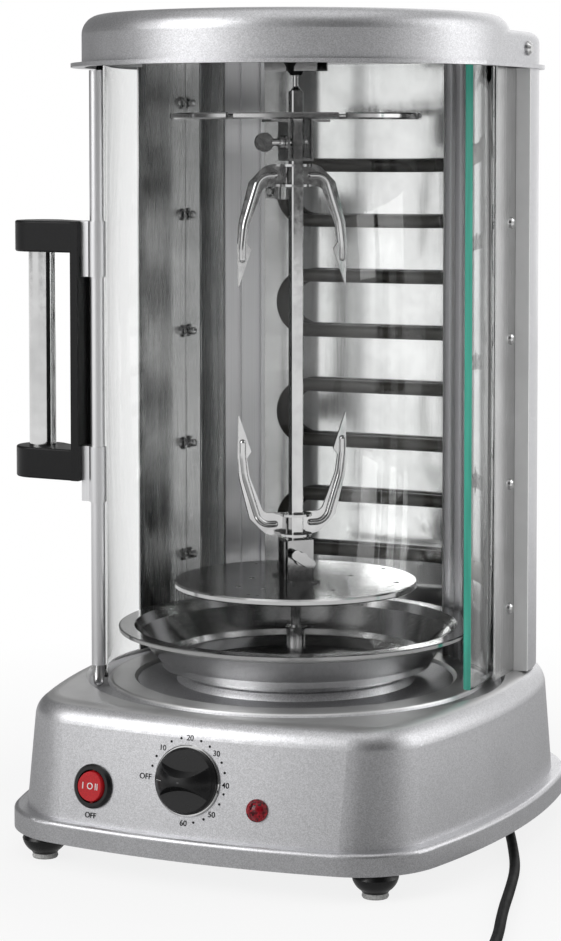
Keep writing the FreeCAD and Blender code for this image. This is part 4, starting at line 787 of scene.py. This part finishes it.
def range_node(tree, value, *numbers):
    """Maps a value from one range to another: from start, from end, to start, to end."""
    node = tree.nodes.new("ShaderNodeMapRange")
    for name, number in zip(("From Min", "From Max", "To Min", "To Max"), numbers):
        node.inputs[name].default_value = number
    tree.links.new(value, node.inputs["Value"])
    return node.outputs["Result"]


def light_node(tree, kind, grey=1.0, strength=1.0):
    """An emission or background shader, its grey and strength each a number or a socket."""
    node = tree.nodes.new(kind)
    for name, amount in (("Color", grey), ("Strength", strength)):
        if isinstance(amount, float):
            number = (amount, amount, amount, 1.0) if name == "Color" else amount
            node.inputs[name].default_value = number
        else:
            tree.links.new(amount, node.inputs[name])
    return node.outputs[0]


def mix_node(tree, factor, first, second):
    """The first shader where the factor is 0, the second where it is 1."""
    node = tree.nodes.new("ShaderNodeMixShader")
    for socket, start in zip(node.inputs, (factor, first, second)):
        tree.links.new(start, socket)
    return node.outputs[0]


def sight(tree):
    """1 for what the camera sees by itself or through glass; 1 while no metal has turned the path;
    1 on a reflected path."""
    path = tree.nodes.new("ShaderNodeLightPath")
    seen = math_node(tree, "MAXIMUM", path.outputs["Is Camera Ray"],
                     path.outputs["Is Transmission Ray"])
    direct = math_node(tree, "LESS_THAN", path.outputs["Glossy Depth"], 0.5)
    return math_node(tree, "MULTIPLY", seen, direct), direct, path.outputs["Is Glossy Ray"]


FLOOR_HALF = 8.0
# From one distance to another, in metres from the middle: the share of plain white that the camera
# sees over the floor's own shading, and the grey glow that metal sees in place of the floor, a
# painted reflection greyer near the object.
FLOOR_GLOW = (0.22, 0.62, 0.84, 1.0)
FLOOR_PAINTED_REFLECTION = (0.7, 1.3, 0.4, 1.0)


def stage_floor():
    """A pale floor: white from afar with its shadow near the object; in metal it shows as a grey
    glow, a painted reflection that is greyer near the object."""
    mesh = bpy.data.meshes.new("floor")
    corners = [(x * FLOOR_HALF, y * FLOOR_HALF, 0) for x, y in ((-1, -1), (1, -1), (1, 1), (-1, 1))]
    mesh.from_pydata(corners, [], [(0, 1, 2, 3)])
    floor = bpy.data.objects.new("floor", mesh)
    bpy.context.scene.collection.objects.link(floor)
    material = new_material("pale_floor", (0.86, 0.86, 0.86), 0.0, 0.9, Specular_IOR_Level=0.1)
    tree = material.node_tree
    shader = tree.nodes["Principled BSDF"].outputs[0]
    clear, direct, _ = sight(tree)
    place = tree.nodes.new("ShaderNodeTexCoord")
    reach = tree.nodes.new("ShaderNodeVectorMath")
    reach.operation = "LENGTH"
    tree.links.new(place.outputs["Object"], reach.inputs[0])
    distance = reach.outputs["Value"]
    share = math_node(tree, "MULTIPLY", clear, range_node(tree, distance, *FLOOR_GLOW))
    # Metal sees the floor as this grey glow: a painted reflection, greyer near the object.
    dim = light_node(tree, "ShaderNodeEmission",
                     strength=range_node(tree, distance, *FLOOR_PAINTED_REFLECTION))
    blend = mix_node(tree, share, mix_node(tree, direct, dim, shader),
                     light_node(tree, "ShaderNodeEmission"))
    tree.links.new(blend, tree.nodes["Material Output"].inputs["Surface"])
    mesh.materials.append(material)


# What metal sees around it: azimuth from the front in degrees, towards +X, and its grey.
ROOM = ((-180.0, 0.92), (-164.0, 0.92), (-146.0, 0.16), (-66.0, 0.08), (-52.0, 1.0), (-12.0, 1.0),
        (4.0, 0.3), (24.0, 0.08), (72.0, 0.08), (94.0, 0.92), (180.0, 0.92))
CEILING = 0.4
CEILING_START, CEILING_STOP = 0.55, 0.9
AMBIENT = 0.35


def studio_world():
    """White where the camera and the glass look, a bright backdrop behind the object and a darker
    room in front of it in the metal, and a plain grey for the rest of the light."""
    world = bpy.data.worlds.new("studio")
    bpy.context.scene.world = world
    world.use_nodes = True
    tree = world.node_tree
    place = tree.nodes.new("ShaderNodeTexCoord")
    split = tree.nodes.new("ShaderNodeSeparateXYZ")
    tree.links.new(place.outputs["Generated"], split.inputs["Vector"])
    ahead = math_node(tree, "MULTIPLY", split.outputs["Y"], -1.0)
    turn = math_node(tree, "ARCTAN2", split.outputs["X"], ahead)
    ramp = tree.nodes.new("ShaderNodeValToRGB")
    for element, (azimuth, grey) in zip(ramp.color_ramp.elements, (ROOM[0], ROOM[-1])):
        element.position = (azimuth + 180.0) / 360.0
        element.color = (grey, grey, grey, 1.0)
    for azimuth, grey in ROOM[1:-1]:
        stop = ramp.color_ramp.elements.new((azimuth + 180.0) / 360.0)
        stop.color = (grey, grey, grey, 1.0)
    tree.links.new(range_node(tree, turn, -math.pi, math.pi, 0.0, 1.0), ramp.inputs["Fac"])
    above = tree.nodes.new("ShaderNodeMix")
    above.data_type = "RGBA"
    above.inputs["B"].default_value = (CEILING, CEILING, CEILING, 1.0)
    rise = range_node(tree, split.outputs["Z"], CEILING_START, CEILING_STOP, 0.0, 1.0)
    tree.links.new(rise, above.inputs["Factor"])
    tree.links.new(ramp.outputs["Color"], above.inputs["A"])
    clear, _, glossy = sight(tree)
    ambient = light_node(tree, "ShaderNodeBackground", strength=AMBIENT)
    room = light_node(tree, "ShaderNodeBackground", grey=above.outputs["Result"])
    white = light_node(tree, "ShaderNodeBackground")
    blend = mix_node(tree, clear, mix_node(tree, glossy, ambient, room), white)
    tree.links.new(blend, tree.nodes["World Output"].inputs["Surface"])


# Each light: its name, its azimuth from the front in degrees, its distance and height in
# millimetres, its own width and height in metres, and its watts.
LIGHTS = (
    ("key", -34.0, 2300.0, 1500.0, 1.5, 1.7, 26.0),
    ("side", 118.0, 2000.0, 1000.0, 1.2, 1.8, 9.0),
    ("fill", -172.0, 2100.0, 900.0, 1.2, 1.6, 4.0),
    ("top", 10.0, 250.0, 2500.0, 2.2, 2.2, 9.0),
)
LIGHT_AIM = (0.0, 0.0, 270.0)


def studio_lights():
    """Soft rectangular lamps that face the middle of the object."""
    for name, azimuth, distance, height, width, tall, watts in LIGHTS:
        data = bpy.data.lights.new(name, "AREA")
        data.shape = "RECTANGLE"
        data.size = width
        data.size_y = tall
        data.energy = watts
        lamp = bpy.data.objects.new(name, data)
        bpy.context.scene.collection.objects.link(lamp)
        lamp.location = ring_at(distance, azimuth, height)
        lamp.rotation_euler = (at(*LIGHT_AIM) - lamp.location).to_track_quat("-Z", "Y").to_euler()


stage_floor()
studio_world()
studio_lights()
bpy.context.scene.view_settings.view_transform = "Standard"
